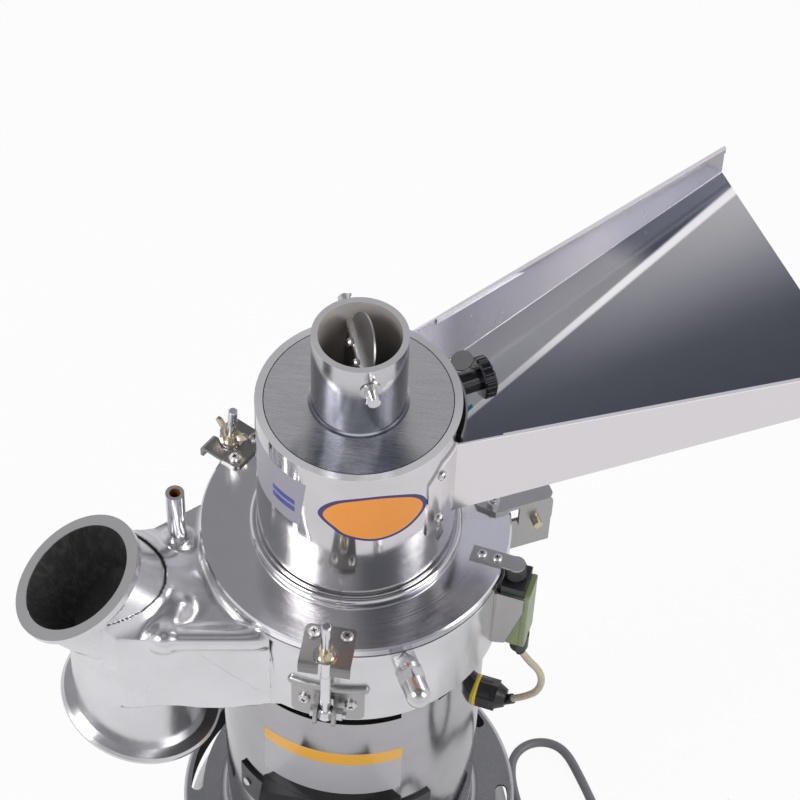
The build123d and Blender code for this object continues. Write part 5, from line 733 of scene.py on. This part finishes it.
LABEL_SINK = 0.05
SLANT_STEPS = 32
SIDE_LABEL_START = -158.0
SIDE_LABEL_EDGE = ((579.0, -114.2), (636.0, -109.8))
SIDE_BARS_AZ = (-134.6, -117.3)
SIDE_BARS_Z = ((594.0, 600.5), (603.0, 609.0))
SHEET_AZ = -90.0
SHEET_Z = (246.0, 262.0, 278.0, 288.0, 295.0, 312.0)
SHEET_BAND_FROM = 4
LEAF_OUTLINE = [(-102.7, 608.5), (-91.7, 628.9), (-68.5, 635.1), (-47.1, 623.0), (-38.7, 602.1),
                (-49.6, 584.8), (-68.6, 577.5), (-86.4, 583.6), (-94.4, 592.5)]
LEAF_CENTRE = (-71.0, 606.0)
LEAF_BORDER_SHARE = 0.905
LEAF_RINGS = 18


def patch(maker, radius, lift, columns, material_of=None):
    """Thin sheet that lies on a cylinder, over columns of (azimuth, height) points."""
    outer, inner = ([[place(a, r, 0, z) for a, z in column] for column in columns]
                    for r in (radius + lift / MM, radius - LABEL_SINK))
    grid_solid(maker, outer, inner, material_of)


def straight_columns(azimuths, heights):
    """Columns of points with straight edges."""
    return [[(a, z) for z in heights] for a in azimuths]


def slanted_columns(start, edge):
    """Columns of points whose far edge runs between two (height, azimuth) points."""
    (low, low_end), (high, high_end) = edge
    ends = zip(span(low, high, 4), span(low_end, high_end, 4))
    rows = [[(a, z) for a in span(start, end, SLANT_STEPS + 1)] for z, end in ends]
    return list(zip(*rows))


def span(start, end, count):
    """Evenly spaced numbers from start to end."""
    return [start + (end - start) * i / (count - 1) for i in range(count)]


class PULVERIZER_OT_labels(Operator):
    """Plain labels on the drum and the housing"""

    bl_idname = "pulverizer.labels"
    bl_label = "Labels"

    def execute(self, context):
        sizes = context.scene.machine_sizes
        colours = context.scene.machine_colours
        lift = sizes.label_lift
        field = plastic("label_field", tuple(colours.label), 0.5, 0.00001, 300.0, 0.0, 0.04).material
        border = plastic("label_border", tuple(colours.label_border), 0.5, 0.0, 300.0, 0.0, 0.04).material
        leaf_label(lift, field, border)
        film = plastic("label_film", (0.30, 0.29, 0.33), 0.45, 0.0, 300.0, 0.0, 0.04).material
        blue = plastic("label_blue", (0.05, 0.06, 0.28), 0.35, 0.0, 300.0, 0.2).material
        maker = bmesh.new()
        patch(maker, DRUM_R, lift, slanted_columns(SIDE_LABEL_START, SIDE_LABEL_EDGE))
        piece("drum_side_label", maker, "lid", film)
        maker = bmesh.new()
        for heights in SIDE_BARS_Z:
            columns = straight_columns(span(*SIDE_BARS_AZ, 12), span(*heights, 3))
            patch(maker, DRUM_R, lift + LABEL_SINK * MM, columns)
        piece("drum_side_bars", maker, "lid", blue)
        paper = plastic("notice_paper", (0.42, 0.42, 0.435), 0.4, 0.00001, 300.0, 0.2, 0.04).material
        band = plastic("notice_band", tuple(colours.notice_band), 0.35, 0.0, 300.0, 0.2, 0.04).material
        half = sizes.notice_half
        columns = straight_columns(span(SHEET_AZ - half, SHEET_AZ + half, 40), SHEET_Z)
        maker = bmesh.new()
        patch(maker, HOUSING_R, lift, columns, lambda i, j: int(j >= SHEET_BAND_FROM))
        piece("housing_sheet", maker, "frame", [paper, band])
        return {"FINISHED"}


def leaf_label(lift, field, border):
    """Leaf-shaped label with a border, lying on the drum."""
    outline = smooth_loop(LEAF_OUTLINE, 8)
    shares = span(0.0, LEAF_BORDER_SHARE, LEAF_RINGS) + [1.0]
    centre = Vector(LEAF_CENTRE)
    maker = bmesh.new()
    rims = []
    for radius in (DRUM_R + lift / MM, DRUM_R - LABEL_SINK):
        middle = maker.verts.new(place(centre[0], radius, 0, centre[1]))
        rings = [[maker.verts.new(place(p[0], radius, 0, p[1]))
                  for p in (centre + (q - centre) * share for q in outline)] for share in shares[1:]]
        for one, two in zip(rings[0], rings[0][1:] + rings[0][:1]):
            maker.faces.new((middle, one, two))
        for near, far in zip(rings, rings[1:]):
            join_rings(maker, near, far, int(far is rings[-1]))
        rims.append(rings[-1])
    join_rings(maker, *rims, 1)
    piece("drum_leaf_label", maker, "lid", [field, border])


# Cast blends: soft fillets where the outlet's forms meet, in millimetres on its axes (d, n, z)

BLEND_BOX = ((70.0, -52.0, 380.0), (262.0, 126.0, 502.0))
BLEND_STEP = 1.5
BLEND_SHOWN = 0.07
BLEND_DEPTH = 1.2
BLEND_PROBE = 0.25
BLOCK_BLEND = 9.0
LOWER_BLEND = 14.0
PIPE_BLEND = 18.0
BALL_BLEND = 5.0
LOBE_BLEND = 7.0
RAIL_BLEND = 12.0
BOSS_BLEND = 8.0
FLANGE_BLEND = 5.0


def soft_join(a, b, reach):
    """Union of two distance fields with a fillet."""
    share = np.clip(0.5 + 0.5 * (b - a) / reach, 0.0, 1.0)
    return b * (1 - share) + a * share - reach * share * (1 - share)


def rod_field(d, n, z, start, end, radius):
    """Distance to a round-ended rod."""
    start = np.array(start)
    along = np.array(end) - start
    offset = [c - s for c, s in zip((d, n, z), start)]
    share = np.clip(sum(o * a for o, a in zip(offset, along)) / along.dot(along), 0.0, 1.0)
    return np.sqrt(sum((o - share * a) ** 2 for o, a in zip(offset, along))) - radius


def block_field(d, n, z):
    """Distance to the outlet's tapered block."""
    field = np.maximum(z - BLOCK_Z[1], BLOCK_Z[0] - z)
    for (d0, n0), (d1, n1) in BLOCK_SIDES:
        length = math.hypot(d1 - d0, n1 - n0)
        field = np.maximum(field, ((d - d0) * (n1 - n0) - (n - n0) * (d1 - d0)) / length)
    front = BLOCK_FRONT[0] + BLOCK_FRONT[1] * (BLOCK_Z[1] - z) / (BLOCK_Z[1] - BLOCK_Z[0])
    return np.maximum(field, n - front)


def slanted_fields(d, n, z):
    """Distances to the slanted upper pipe, to its flange and to the plane of its mouth."""
    from_d, from_n, from_z = (value - centre for value, centre in zip((d, n, z), FLANGE_CENTRE))
    depth = from_d * MOUTH_FACING[0] + from_z * MOUTH_FACING[1]
    travel = depth / PIPE_FACING
    across, straight = (
        np.sqrt((from_d - run * way[0]) ** 2 + (from_z - run * way[1]) ** 2 + from_n ** 2)
        for run, way in ((travel, PIPE_ALONG), (depth, MOUTH_FACING)))
    pipe = np.maximum((across - PIPE_R) * PIPE_FACING, depth)
    flange = np.maximum(straight - FLANGE_R, np.maximum(depth, -FLANGE_THICK - depth))
    return pipe, flange, depth


def outlet_fields(d, n, z):
    """The outlet's forms joined sharply, and joined with cast fillets."""
    chamber = np.maximum(np.hypot(d, n) - CHAMBER_R, np.maximum(z - CHAMBER_Z[1], CHAMBER_Z[0] - z))
    block = block_field(d, n, z)
    elbow_d, elbow_n, elbow_z, elbow_r = ELBOW
    down = (elbow_z - z) / (elbow_z - LOW_RIM[1])
    lower = np.hypot(d - elbow_d - (LOW_RIM[0] - elbow_d) * down, n - elbow_n)
    lower = np.maximum(lower - elbow_r - (LOW_RIM[2] - elbow_r) * down, z - elbow_z)
    pipe, flange, mouth = slanted_fields(d, n, z)
    start, ball_place, lobe_end = RAIL_POINTS
    rail = rod_field(d, n, z, start, ball_place, RAIL_R)
    lobe = rod_field(d, n, z, ball_place, lobe_end, RAIL_R)
    ball = rod_field(d, n, z, ball_place, (ball_place[0] + 0.1, *ball_place[1:]), BALL_R)
    boss_d, boss_n, boss_r, boss_top_r, boss_top = BOSS
    rise = (z - BLOCK_Z[1]) / (boss_top - BLOCK_Z[1])
    boss = np.maximum(np.hypot(d - boss_d, n - boss_n) - boss_r - (boss_top_r - boss_r) * rise, z - boss_top)
    boss = np.maximum(boss, BLOCK_Z[1] - 1.0 - z)
    sharp = np.minimum.reduce([chamber, block, lower, pipe, flange, rail, lobe, ball, boss])
    soft = np.maximum(soft_join(block, chamber, BLOCK_BLEND), BLOCK_Z[0] - z)
    soft = soft_join(soft, lower, LOWER_BLEND)
    soft = soft_join(soft, pipe, PIPE_BLEND)
    grip = soft_join(soft_join(rail, ball, BALL_BLEND), lobe, LOBE_BLEND)
    soft = soft_join(soft, grip, RAIL_BLEND)
    soft = soft_join(soft, boss, BOSS_BLEND)
    return sharp, np.maximum(soft_join(soft, flange, FLANGE_BLEND), mouth)


def net_of(field, corner, step):
    """Surface through a field's zero: points, and faces of four point numbers each."""
    cells = tuple(c - 1 for c in field.shape)
    total = np.zeros((*cells, 3))
    hits = np.zeros(cells)
    for axis in range(3):
        others = [k for k in range(3) if k != axis]
        for a in (0, 1):
            for b in (0, 1):
                low = [slice(0, -1)] * 3
                low[others[0]] = slice(a, cells[others[0]] + a)
                low[others[1]] = slice(b, cells[others[1]] + b)
                high = list(low)
                high[axis] = slice(1, None)
                f0 = field[tuple(low)]
                f1 = field[tuple(high)]
                crossing = (f0 < 0) != (f1 < 0)
                share = np.where(crossing, f0 / np.where(crossing, f0 - f1, 1.0), 0.0)
                total[..., axis] += share
                total[..., others[0]] += a * crossing
                total[..., others[1]] += b * crossing
                hits += crossing
    used = hits > 0
    numbers = -np.ones(cells, dtype=int)
    numbers[used] = np.arange(used.sum())
    points = np.array(corner) + step * (np.argwhere(used) + total[used] / hits[used][:, None])
    faces = []
    for axis in range(3):
        p, q = (axis + 1) % 3, (axis + 2) % 3
        low = [slice(1, -1)] * 3
        low[axis] = slice(0, -1)
        high = list(low)
        high[axis] = slice(1, None)
        f0 = field[tuple(low)]
        f1 = field[tuple(high)]
        for flip, marked in ((False, (f0 < 0) & (f1 >= 0)), (True, (f0 >= 0) & (f1 < 0))):
            spots = np.argwhere(marked)
            spots[:, p] += 1
            spots[:, q] += 1
            ring = []
            for dp, dq in ((-1, -1), (0, -1), (0, 0), (-1, 0)):
                near = spots.copy()
                near[:, p] += dp
                near[:, q] += dq
                ring.append(numbers[tuple(near.T)])
            quads = np.stack(ring[::-1] if flip else ring, axis=1)
            faces.append(quads[(quads >= 0).all(axis=1)])
    return points, np.concatenate(faces)


class PULVERIZER_OT_casting(Operator):
    """Soft fillets of the outlet casting"""

    bl_idname = "pulverizer.casting"
    bl_label = "Cast blends"

    def execute(self, context):
        axes = [np.arange(low, high, BLEND_STEP) for low, high in zip(*BLEND_BOX)]
        d, n, z = np.meshgrid(*axes, indexing="ij")
        points, faces = net_of(outlet_fields(d, n, z)[1], BLEND_BOX[0], BLEND_STEP)
        above = outlet_fields(*points.T)[0]
        faces = faces[(above[faces] > BLEND_SHOWN).all(axis=1)]
        kept = np.unique(faces)
        renumber = -np.ones(len(points), dtype=int)
        renumber[kept] = np.arange(len(kept))
        points = points[kept]
        faces = renumber[faces]
        steps = BLEND_PROBE * np.eye(3)
        slope = np.stack([outlet_fields(*(points + step).T)[1] - outlet_fields(*(points - step).T)[1]
                          for step in steps], axis=1)
        slope /= np.linalg.norm(slope, axis=1)[:, None]
        under = points - BLEND_DEPTH * slope
        maker = bmesh.new()
        spin = turn_z(OUTLET_AZ)
        top = [maker.verts.new(spin @ (Vector(p) * MM)) for p in points]
        low = [maker.verts.new(spin @ (Vector(p) * MM)) for p in under]
        edges = {}
        for a, b, c, e in faces.tolist():
            maker.faces.new((top[a], top[b], top[c], top[e]))
            maker.faces.new((low[e], low[c], low[b], low[a]))
            edges.update(dict.fromkeys(((a, b), (b, c), (c, e), (e, a))))
        for one, two in edges:
            if (two, one) not in edges:
                maker.faces.new((top[two], top[one], low[one], low[two]))
        casting = bpy.data.materials[context.scene["finishes"]["casting"]]
        piece("casting_blends", maker, "frame", casting, 60.0)
        return {"FINISHED"}


# Cross recesses of the screws, drawn as dark crosses of painted shade

CROSS_LIFT = 0.06
CROSS_SINK = 0.25
CROSS_WIDTH = 0.26
CROSS_SHARE = 0.62
CROSS_START = 20.0
CROSS_TURN = 37.0
CROSS_NODES = {"lid_screws": ("lid", 0.98), "chamber_screws": ("frame", 0.98),
               "damper_fasteners": ("damper", 0.9)}
HEAD_DIAMETERS = (3.0, 16.0)


def loose_parts(thing):
    """Point sets of a mesh's separate solids."""
    mesh = thing.data
    leader = {}
    keys = [tuple(round(c * 1e5) for c in v.co) for v in mesh.vertices]

    def find(key):
        while leader.setdefault(key, key) != key:
            leader[key] = leader[leader[key]]
            key = leader[key]
        return key

    for face in mesh.polygons:
        first = find(keys[face.vertices[0]])
        for index in face.vertices[1:]:
            leader[find(keys[index])] = first
    groups = {}
    for vertex, key in zip(mesh.vertices, keys):
        groups.setdefault(find(key), set()).add(tuple(vertex.co))
    return [np.array(sorted(points)) for points in groups.values()]


def screw_face(points):
    """Centre, outward axis and radius of a screw's flat head face."""
    middle = points.mean(axis=0)
    spread = np.linalg.svd(points - middle, full_matrices=False)[2]
    best = None
    for axis in (spread[0], -spread[0]):
        height = points @ axis
        face = points[height > height.max() - 1e-5]
        centre = face.mean(axis=0)
        radius = np.linalg.norm(face - centre, axis=1).max()
        if best is None or radius > best[2]:
            best = (centre, axis, radius)
    return best


class PULVERIZER_OT_crosses(Operator):
    """Dark crosses of painted shade in the screw heads' recesses"""

    bl_idname = "pulverizer.crosses"
    bl_label = "Cross recesses"

    def execute(self, context):
        # near black crosses standing slightly proud of the heads, as painted shade of the recesses
        dark = plastic("recess_shade", (0.012, 0.011, 0.010), 0.6).material
        depth = CROSS_LIFT + CROSS_SINK
        for name, (body, share) in CROSS_NODES.items():
            maker = bmesh.new()
            for index, points in enumerate(loose_parts(NODES[name])):
                centre, axis, radius = screw_face(points)
                if not HEAD_DIAMETERS[0] * MM <= 2 * radius <= HEAD_DIAMETERS[1] * MM:
                    continue
                up = Vector(axis)
                spin = turn_z(CROSS_TURN * index + CROSS_START)
                turn = up.to_track_quat("Z", "Y").to_matrix().to_4x4() @ spin
                length = 2 * radius * share * CROSS_SHARE
                size = Matrix.Diagonal((length, length * CROSS_WIDTH, depth * MM, 1))
                spot = Matrix.Translation(Vector(centre) + up * (CROSS_LIFT - CROSS_SINK) / 2 * MM)
                for quarter in (0.0, 90.0):
                    bmesh.ops.create_cube(maker, size=1.0, matrix=spot @ turn @ turn_z(quarter) @ size)
            piece(name + "_recesses", maker, body, dark, 20.0)
        return {"FINISHED"}


# Cords, in millimetres

CORD_D = 9.0
MAINS_ROUTE = [(102, -150, 95), (134, -150, 95), (165, -138, 74), (187, -106, 36), (195, -62, 4.5),
               (185, -14, 4.5), (166, 31, 4.5), (150.5, 70, 4.5), (149.5, 95.5, 4.5), (161.3, 112.4, 4.5),
               (180.9, 118.8, 4.5), (200.4, 111.9, 4.5), (218.6, 84, 4.5), (239, 48, 4.5), (256, 14, 4.5),
               (256, -18, 4.5)]
COIL_CENTRE = (310.5, -60.0)
COIL_SWEEP = (180.0, 1440.1)
COIL_STEP = 22.5
# Radii and heights of the coil's line at some of its angles
COIL_RADII = ((455.0, 505.0, 1230.0, 1290.0), (54.5, 45.5, 45.5, 54.5))
COIL_HEIGHTS = ((860.0, 905.0), (4.5, 13.5))
COIL_INSET = 0.985
COIL_TAIL = (21.0, 42.0)
LEAD_ROUTE = [(151.5, 374.0), (158.0, 363.0), (170.5, 351.0), (173.5, 331.0), (166.0, 309.5),
              (149.0, 296.0)]
LEAD_CORE_R = 2.75
STRAND_PITCH = 22.0
STRAND_REACH = 2.85
STRAND_WEAVE = 0.12
STRAND_R = 0.6
STRAND_FLATNESS = (0.45, 1.35)


def nurbs_line(name, points):
    """Curve of one open spline through the room that its control points give it."""
    data = bpy.data.curves.new(name, "CURVE")
    data.dimensions = "3D"
    spline = data.splines.new("NURBS")
    spline.points.add(len(points) - 1)
    for spot, point in zip(spline.points, points):
        spot.co = (*point, 1.0)
    spline.order_u = 3
    spline.use_endpoint_u = True
    spline.resolution_u = 8
    data.resolution_u = 8
    return add_object(name, data)


def coil_points():
    """Turns of the coil: two beside each other on each of two layers."""
    points = []
    for angle in np.arange(*COIL_SWEEP, COIL_STEP):
        reach = np.interp(angle, *COIL_RADII) / COIL_INSET
        a = math.radians(angle)
        points.append(Vector((COIL_CENTRE[0] + reach * math.cos(a), COIL_CENTRE[1] + reach * math.sin(a),
                              np.interp(angle, *COIL_HEIGHTS))))
    return points


def line_length(thing):
    """Length of a curve object's own line, and its points."""
    depsgraph = bpy.context.evaluated_depsgraph_get()
    mesh = bpy.data.meshes.new_from_object(thing.evaluated_get(depsgraph))
    spots = [v.co.copy() for v in mesh.vertices]
    bpy.data.meshes.remove(mesh)
    return sum((b - a).length for a, b in zip(spots, spots[1:])), spots


class PULVERIZER_OT_cords(Operator):
    """Mains cord with its coil, and the braided switch lead"""

    bl_idname = "pulverizer.cords"
    bl_label = "Cords"

    def execute(self, context):
        route = [Vector(p) * MM for p in (*MAINS_ROUTE, *coil_points())]
        route += [route[-1] + Vector((0, tail * MM, 0)) for tail in COIL_TAIL]
        cord = nurbs_line("mains_cord_line", route)
        length, _ = line_length(cord)
        cord.data.bevel_depth = CORD_D / 2 * MM
        cord.data.bevel_resolution = 4
        cord.data.use_fill_caps = True
        cord.data.materials.append(bpy.data.materials[context.scene["finishes"]["cord"]])
        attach(cord, "frame")
        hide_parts("mains_cord", "cord_coil")
        switch_lead(context)
        return {"FINISHED"}


def switch_lead(context):
    """Braided lead: a core tube with strands woven round it."""
    points = [place(SWITCH_AZ, u, 0, z) for u, z in LEAD_ROUTE]
    line = nurbs_line("switch_lead_line", points)
    line.data.resolution_u = 16
    line.data.splines[0].resolution_u = 16
    length, spots = line_length(line)
    bpy.data.objects.remove(line)
    maker = bmesh.new()
    frames = path_frames(spots)
    tube(maker, spots, frames, LEAD_CORE_R, 16)
    count = context.scene.machine_sizes.lead_strands
    for way in (-1, 1):
        for k in range(count):
            strand(maker, frames, way, 360.0 * k / count, count)
    braid = plastic("cream_braid", (0.60, 0.53, 0.40), 0.75, 0.00006, 1500.0).material
    lead = piece("switch_lead_braid", maker, "frame", braid, 80.0)
    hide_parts("switch_lead")


def path_frames(spots):
    """Place, two side directions and travelled length at each point of a line."""
    frames = []
    side = None
    travelled = 0.0
    for i, spot in enumerate(spots):
        ahead = spots[min(i + 1, len(spots) - 1)] - spots[max(i - 1, 0)]
        ahead.normalize()
        if side is None:
            side = ahead.orthogonal().normalized()
        side = (side - ahead * side.dot(ahead)).normalized()
        if i:
            travelled += (spot - spots[i - 1]).length
        frames.append((spot, side, ahead.cross(side), travelled))
    return frames


def tube(maker, centres, frames, radius, sides):
    """Closed round tube along a line."""
    rings = []
    for centre, (_, a, b, _) in zip(centres, frames):
        rings.append([maker.verts.new(centre + (a * math.cos(t) + b * math.sin(t)) * radius * MM)
                      for t in (2 * math.pi * k / sides for k in range(sides))])
    for near, far in zip(rings, rings[1:]):
        join_rings(maker, near, far)
    maker.faces.new(rings[0][::-1])
    maker.faces.new(rings[-1])


def strand(maker, frames, way, start, count):
    """One flat strand that winds round the lead, over and under the others."""
    thin, wide = STRAND_FLATNESS
    centres = []
    turned = []
    for spot, a, b, travelled in frames:
        t = math.radians(start) + way * 2 * math.pi * travelled / (STRAND_PITCH * MM)
        weave = math.cos(t * count + way * math.pi / 2)
        outward = a * math.cos(t) + b * math.sin(t)
        across = b * math.cos(t) - a * math.sin(t)
        centres.append(spot + outward * (STRAND_REACH + STRAND_WEAVE * way * weave) * MM)
        turned.append((spot, outward * thin, across * wide, 0.0))
    tube(maker, centres, turned, STRAND_R, 6)


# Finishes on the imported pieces


class PULVERIZER_OT_finishes(Operator):
    """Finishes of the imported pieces"""

    bl_idname = "pulverizer.finishes"
    bl_label = "Finishes"

    def execute(self, context):
        made = build_finishes()
        context.scene["finishes"] = {key: value.name for key, value in made.items()}
        for finish, names in FINISH_NODES.items():
            for name in names.split():
                for slot in NODES[name].material_slots:
                    slot.material = made[finish]
        return {"FINISHED"}


# Stage

LAMP_AIM = (0.0, 0.0, 0.45)
CAMERA_PLACE = (0.1933, -1.2548, 2.2261)
CAMERA_RIGHT = (0.98657, 0.16101, 0.02775)
CAMERA_UP = (-0.1425, 0.7650, 0.6280)
CAMERA_LENS = 115.95
PAN_SHADE_R = 157.0
FLOOR_GLOW = (("Is Camera Ray", 0.93), ("Is Glossy Ray", 0.35), ("Is Transmission Ray", 0.35))
# Height and level of the surroundings' light, and the blue of its bright and dark parts
WORLD_STOPS = [(0.0, 0.85), (0.30, 0.80), (0.52, 0.62), (0.68, 0.42), (0.76, 0.30), (0.80, 0.27),
               (0.835, 0.34), (0.862, 0.26), (0.885, 0.075), (0.91, 0.055), (0.935, 0.09), (0.96, 0.17),
               (1.0, 0.35)]
WORLD_BLUE = (0.03, 0.10)
WORLD_BLUE_LEVEL = 0.3


class PULVERIZER_OT_stage(Operator):
    """Floor, lamps, surroundings and camera"""

    bl_idname = "pulverizer.stage"
    bl_label = "Stage"

    def execute(self, context):
        settings = context.scene.stage_settings
        make_floor(tuple(settings.floor))
        make_world(context.scene)
        lamp("key_lamp", (-1.5, -1.1, 2.2), settings.key_power, (1.1, 0.8))
        lamp("fill_lamp", (1.9, -0.4, 1.9), settings.fill_power, (0.9, 1.3))
        make_camera(context.scene)
        context.scene.view_settings.view_transform = "Standard"
        return {"FINISHED"}


def make_floor(colour):
    """Wide pale floor that shows white to the camera and keeps a faint shadow."""
    maker = bmesh.new()
    bmesh.ops.create_grid(maker, x_segments=8, y_segments=8, size=6.0)
    mesh = bpy.data.meshes.new("floor")
    maker.to_mesh(mesh)
    maker.free()
    floor = add_object("floor", mesh)
    w = Wiring("floor")
    w.set(Base_Color=shade(colour), Roughness=0.8, Specular_IOR_Level=0.1)
    glow = w.node("ShaderNodeEmission")
    glow.inputs["Color"].default_value = (1, 1, 1, 1)
    rays = w.node("ShaderNodeLightPath")
    seen = 0.0
    for ray, level in FLOOR_GLOW:
        seen = w.math("ADD", w.times(rays.outputs[ray], level), seen, clamp=True)
    x, y, _ = w.axes()
    seen = w.times(seen, w.is_above(w.length(x, y), PAN_SHADE_R))
    blend = w.node("ShaderNodeMixShader")
    for socket, value in zip(blend.inputs, (seen, w.shader.outputs[0], glow.outputs[0])):
        w.put(socket, value)
    w.put(w.tree.nodes["Material Output"].inputs["Surface"], blend.outputs[0])
    mesh.materials.append(w.material)


def make_world(scene):
    """Surroundings: white to the camera, pale near the horizon and dark slate above."""
    world = bpy.data.worlds.new("studio")
    world.use_nodes = True
    scene.world = world
    tree = world.node_tree
    tree.nodes.clear()
    coords, parts, ramp, dark, white, rays, blend, out = (tree.nodes.new("ShaderNode" + kind) for kind in (
        "TexCoord", "SeparateXYZ", "ValToRGB", "Background", "Background", "LightPath", "MixShader",
        "OutputWorld"))
    ramp.color_ramp.interpolation = "EASE"
    stops = ramp.color_ramp.elements
    for k, (height, level) in enumerate(WORLD_STOPS):
        stop = stops[k] if k < 2 else stops.new(height)
        stop.position = height
        blue = WORLD_BLUE[0] + WORLD_BLUE[1] * max(0.0, 1.0 - level / WORLD_BLUE_LEVEL)
        stop.color = (level * (1.0 - blue), level * (1.0 - 0.5 * blue), level * (1.0 + blue), 1)
    white.inputs["Color"].default_value = (1, 1, 1, 1)
    links = ((coords.outputs["Generated"], parts.inputs[0]), (parts.outputs["Z"], ramp.inputs[0]),
             (ramp.outputs[0], dark.inputs["Color"]), (rays.outputs["Is Camera Ray"], blend.inputs[0]),
             (dark.outputs[0], blend.inputs[1]), (white.outputs[0], blend.inputs[2]),
             (blend.outputs[0], out.inputs["Surface"]))
    for source, target in links:
        tree.links.new(source, target)


def lamp(name, spot, power, size):
    """Soft rectangular lamp that points at the machine."""
    data = bpy.data.lights.new(name, "AREA")
    data.shape = "RECTANGLE"
    data.size, data.size_y = size
    data.energy = power
    thing = add_object(name, data)
    thing.location = spot
    thing.rotation_euler = (Vector(LAMP_AIM) - Vector(spot)).to_track_quat("-Z", "Y").to_euler()


def make_camera(scene):
    """Camera at the photograph's place."""
    data = bpy.data.cameras.new("camera")
    data.sensor_width = 36.0
    data.lens = CAMERA_LENS
    data.clip_start = 0.1
    data.clip_end = 50.0
    right = Vector(CAMERA_RIGHT).normalized()
    up = Vector(CAMERA_UP)
    up = (up - right * up.dot(right)).normalized()
    back = right.cross(up)
    thing = add_object("camera", data)
    thing.matrix_world = Matrix.Translation(CAMERA_PLACE) @ Matrix((right, up, back)).transposed().to_4x4()
    scene.camera = thing


class PULVERIZER_PT_panel(Panel):
    """Shows the settings and the operators in the sidebar"""

    bl_idname = "PULVERIZER_PT_panel"
    bl_label = "Pulverizer"
    bl_space_type = "VIEW_3D"
    bl_region_type = "UI"
    bl_category = "Pulverizer"

    def draw(self, context):
        for name, group in GROUPS.items():
            for key in group.__annotations__:
                self.layout.prop(getattr(context.scene, name), key)
        for operator in OPERATORS:
            self.layout.operator(operator.bl_idname)


GROUPS = {"machine_sizes": MachineSizes, "machine_colours": MachineColours, "stage_settings": StageSettings}
OPERATORS = (PULVERIZER_OT_finishes, PULVERIZER_OT_casting, PULVERIZER_OT_crosses, PULVERIZER_OT_labels,
             PULVERIZER_OT_cords, PULVERIZER_OT_stage)


def register():
    """Registers the classes and their settings."""
    for item in (*GROUPS.values(), *OPERATORS, PULVERIZER_PT_panel):
        bpy.utils.register_class(item)
    for name, group in GROUPS.items():
        setattr(bpy.types.Scene, name, PointerProperty(type=group))


def unregister():
    """Removes the classes and their settings."""
    for name in GROUPS:
        delattr(bpy.types.Scene, name)
    for item in (PULVERIZER_PT_panel, *reversed(OPERATORS), *GROUPS.values()):
        bpy.utils.unregister_class(item)


def main():
    """Registers the add-on and builds the looks in order."""
    register()
    bpy.ops.pulverizer.finishes()
    bpy.ops.pulverizer.casting()
    bpy.ops.pulverizer.crosses()
    bpy.ops.pulverizer.labels()
    bpy.ops.pulverizer.cords()
    bpy.ops.pulverizer.stage()


if __name__ == "__main__":
    main()
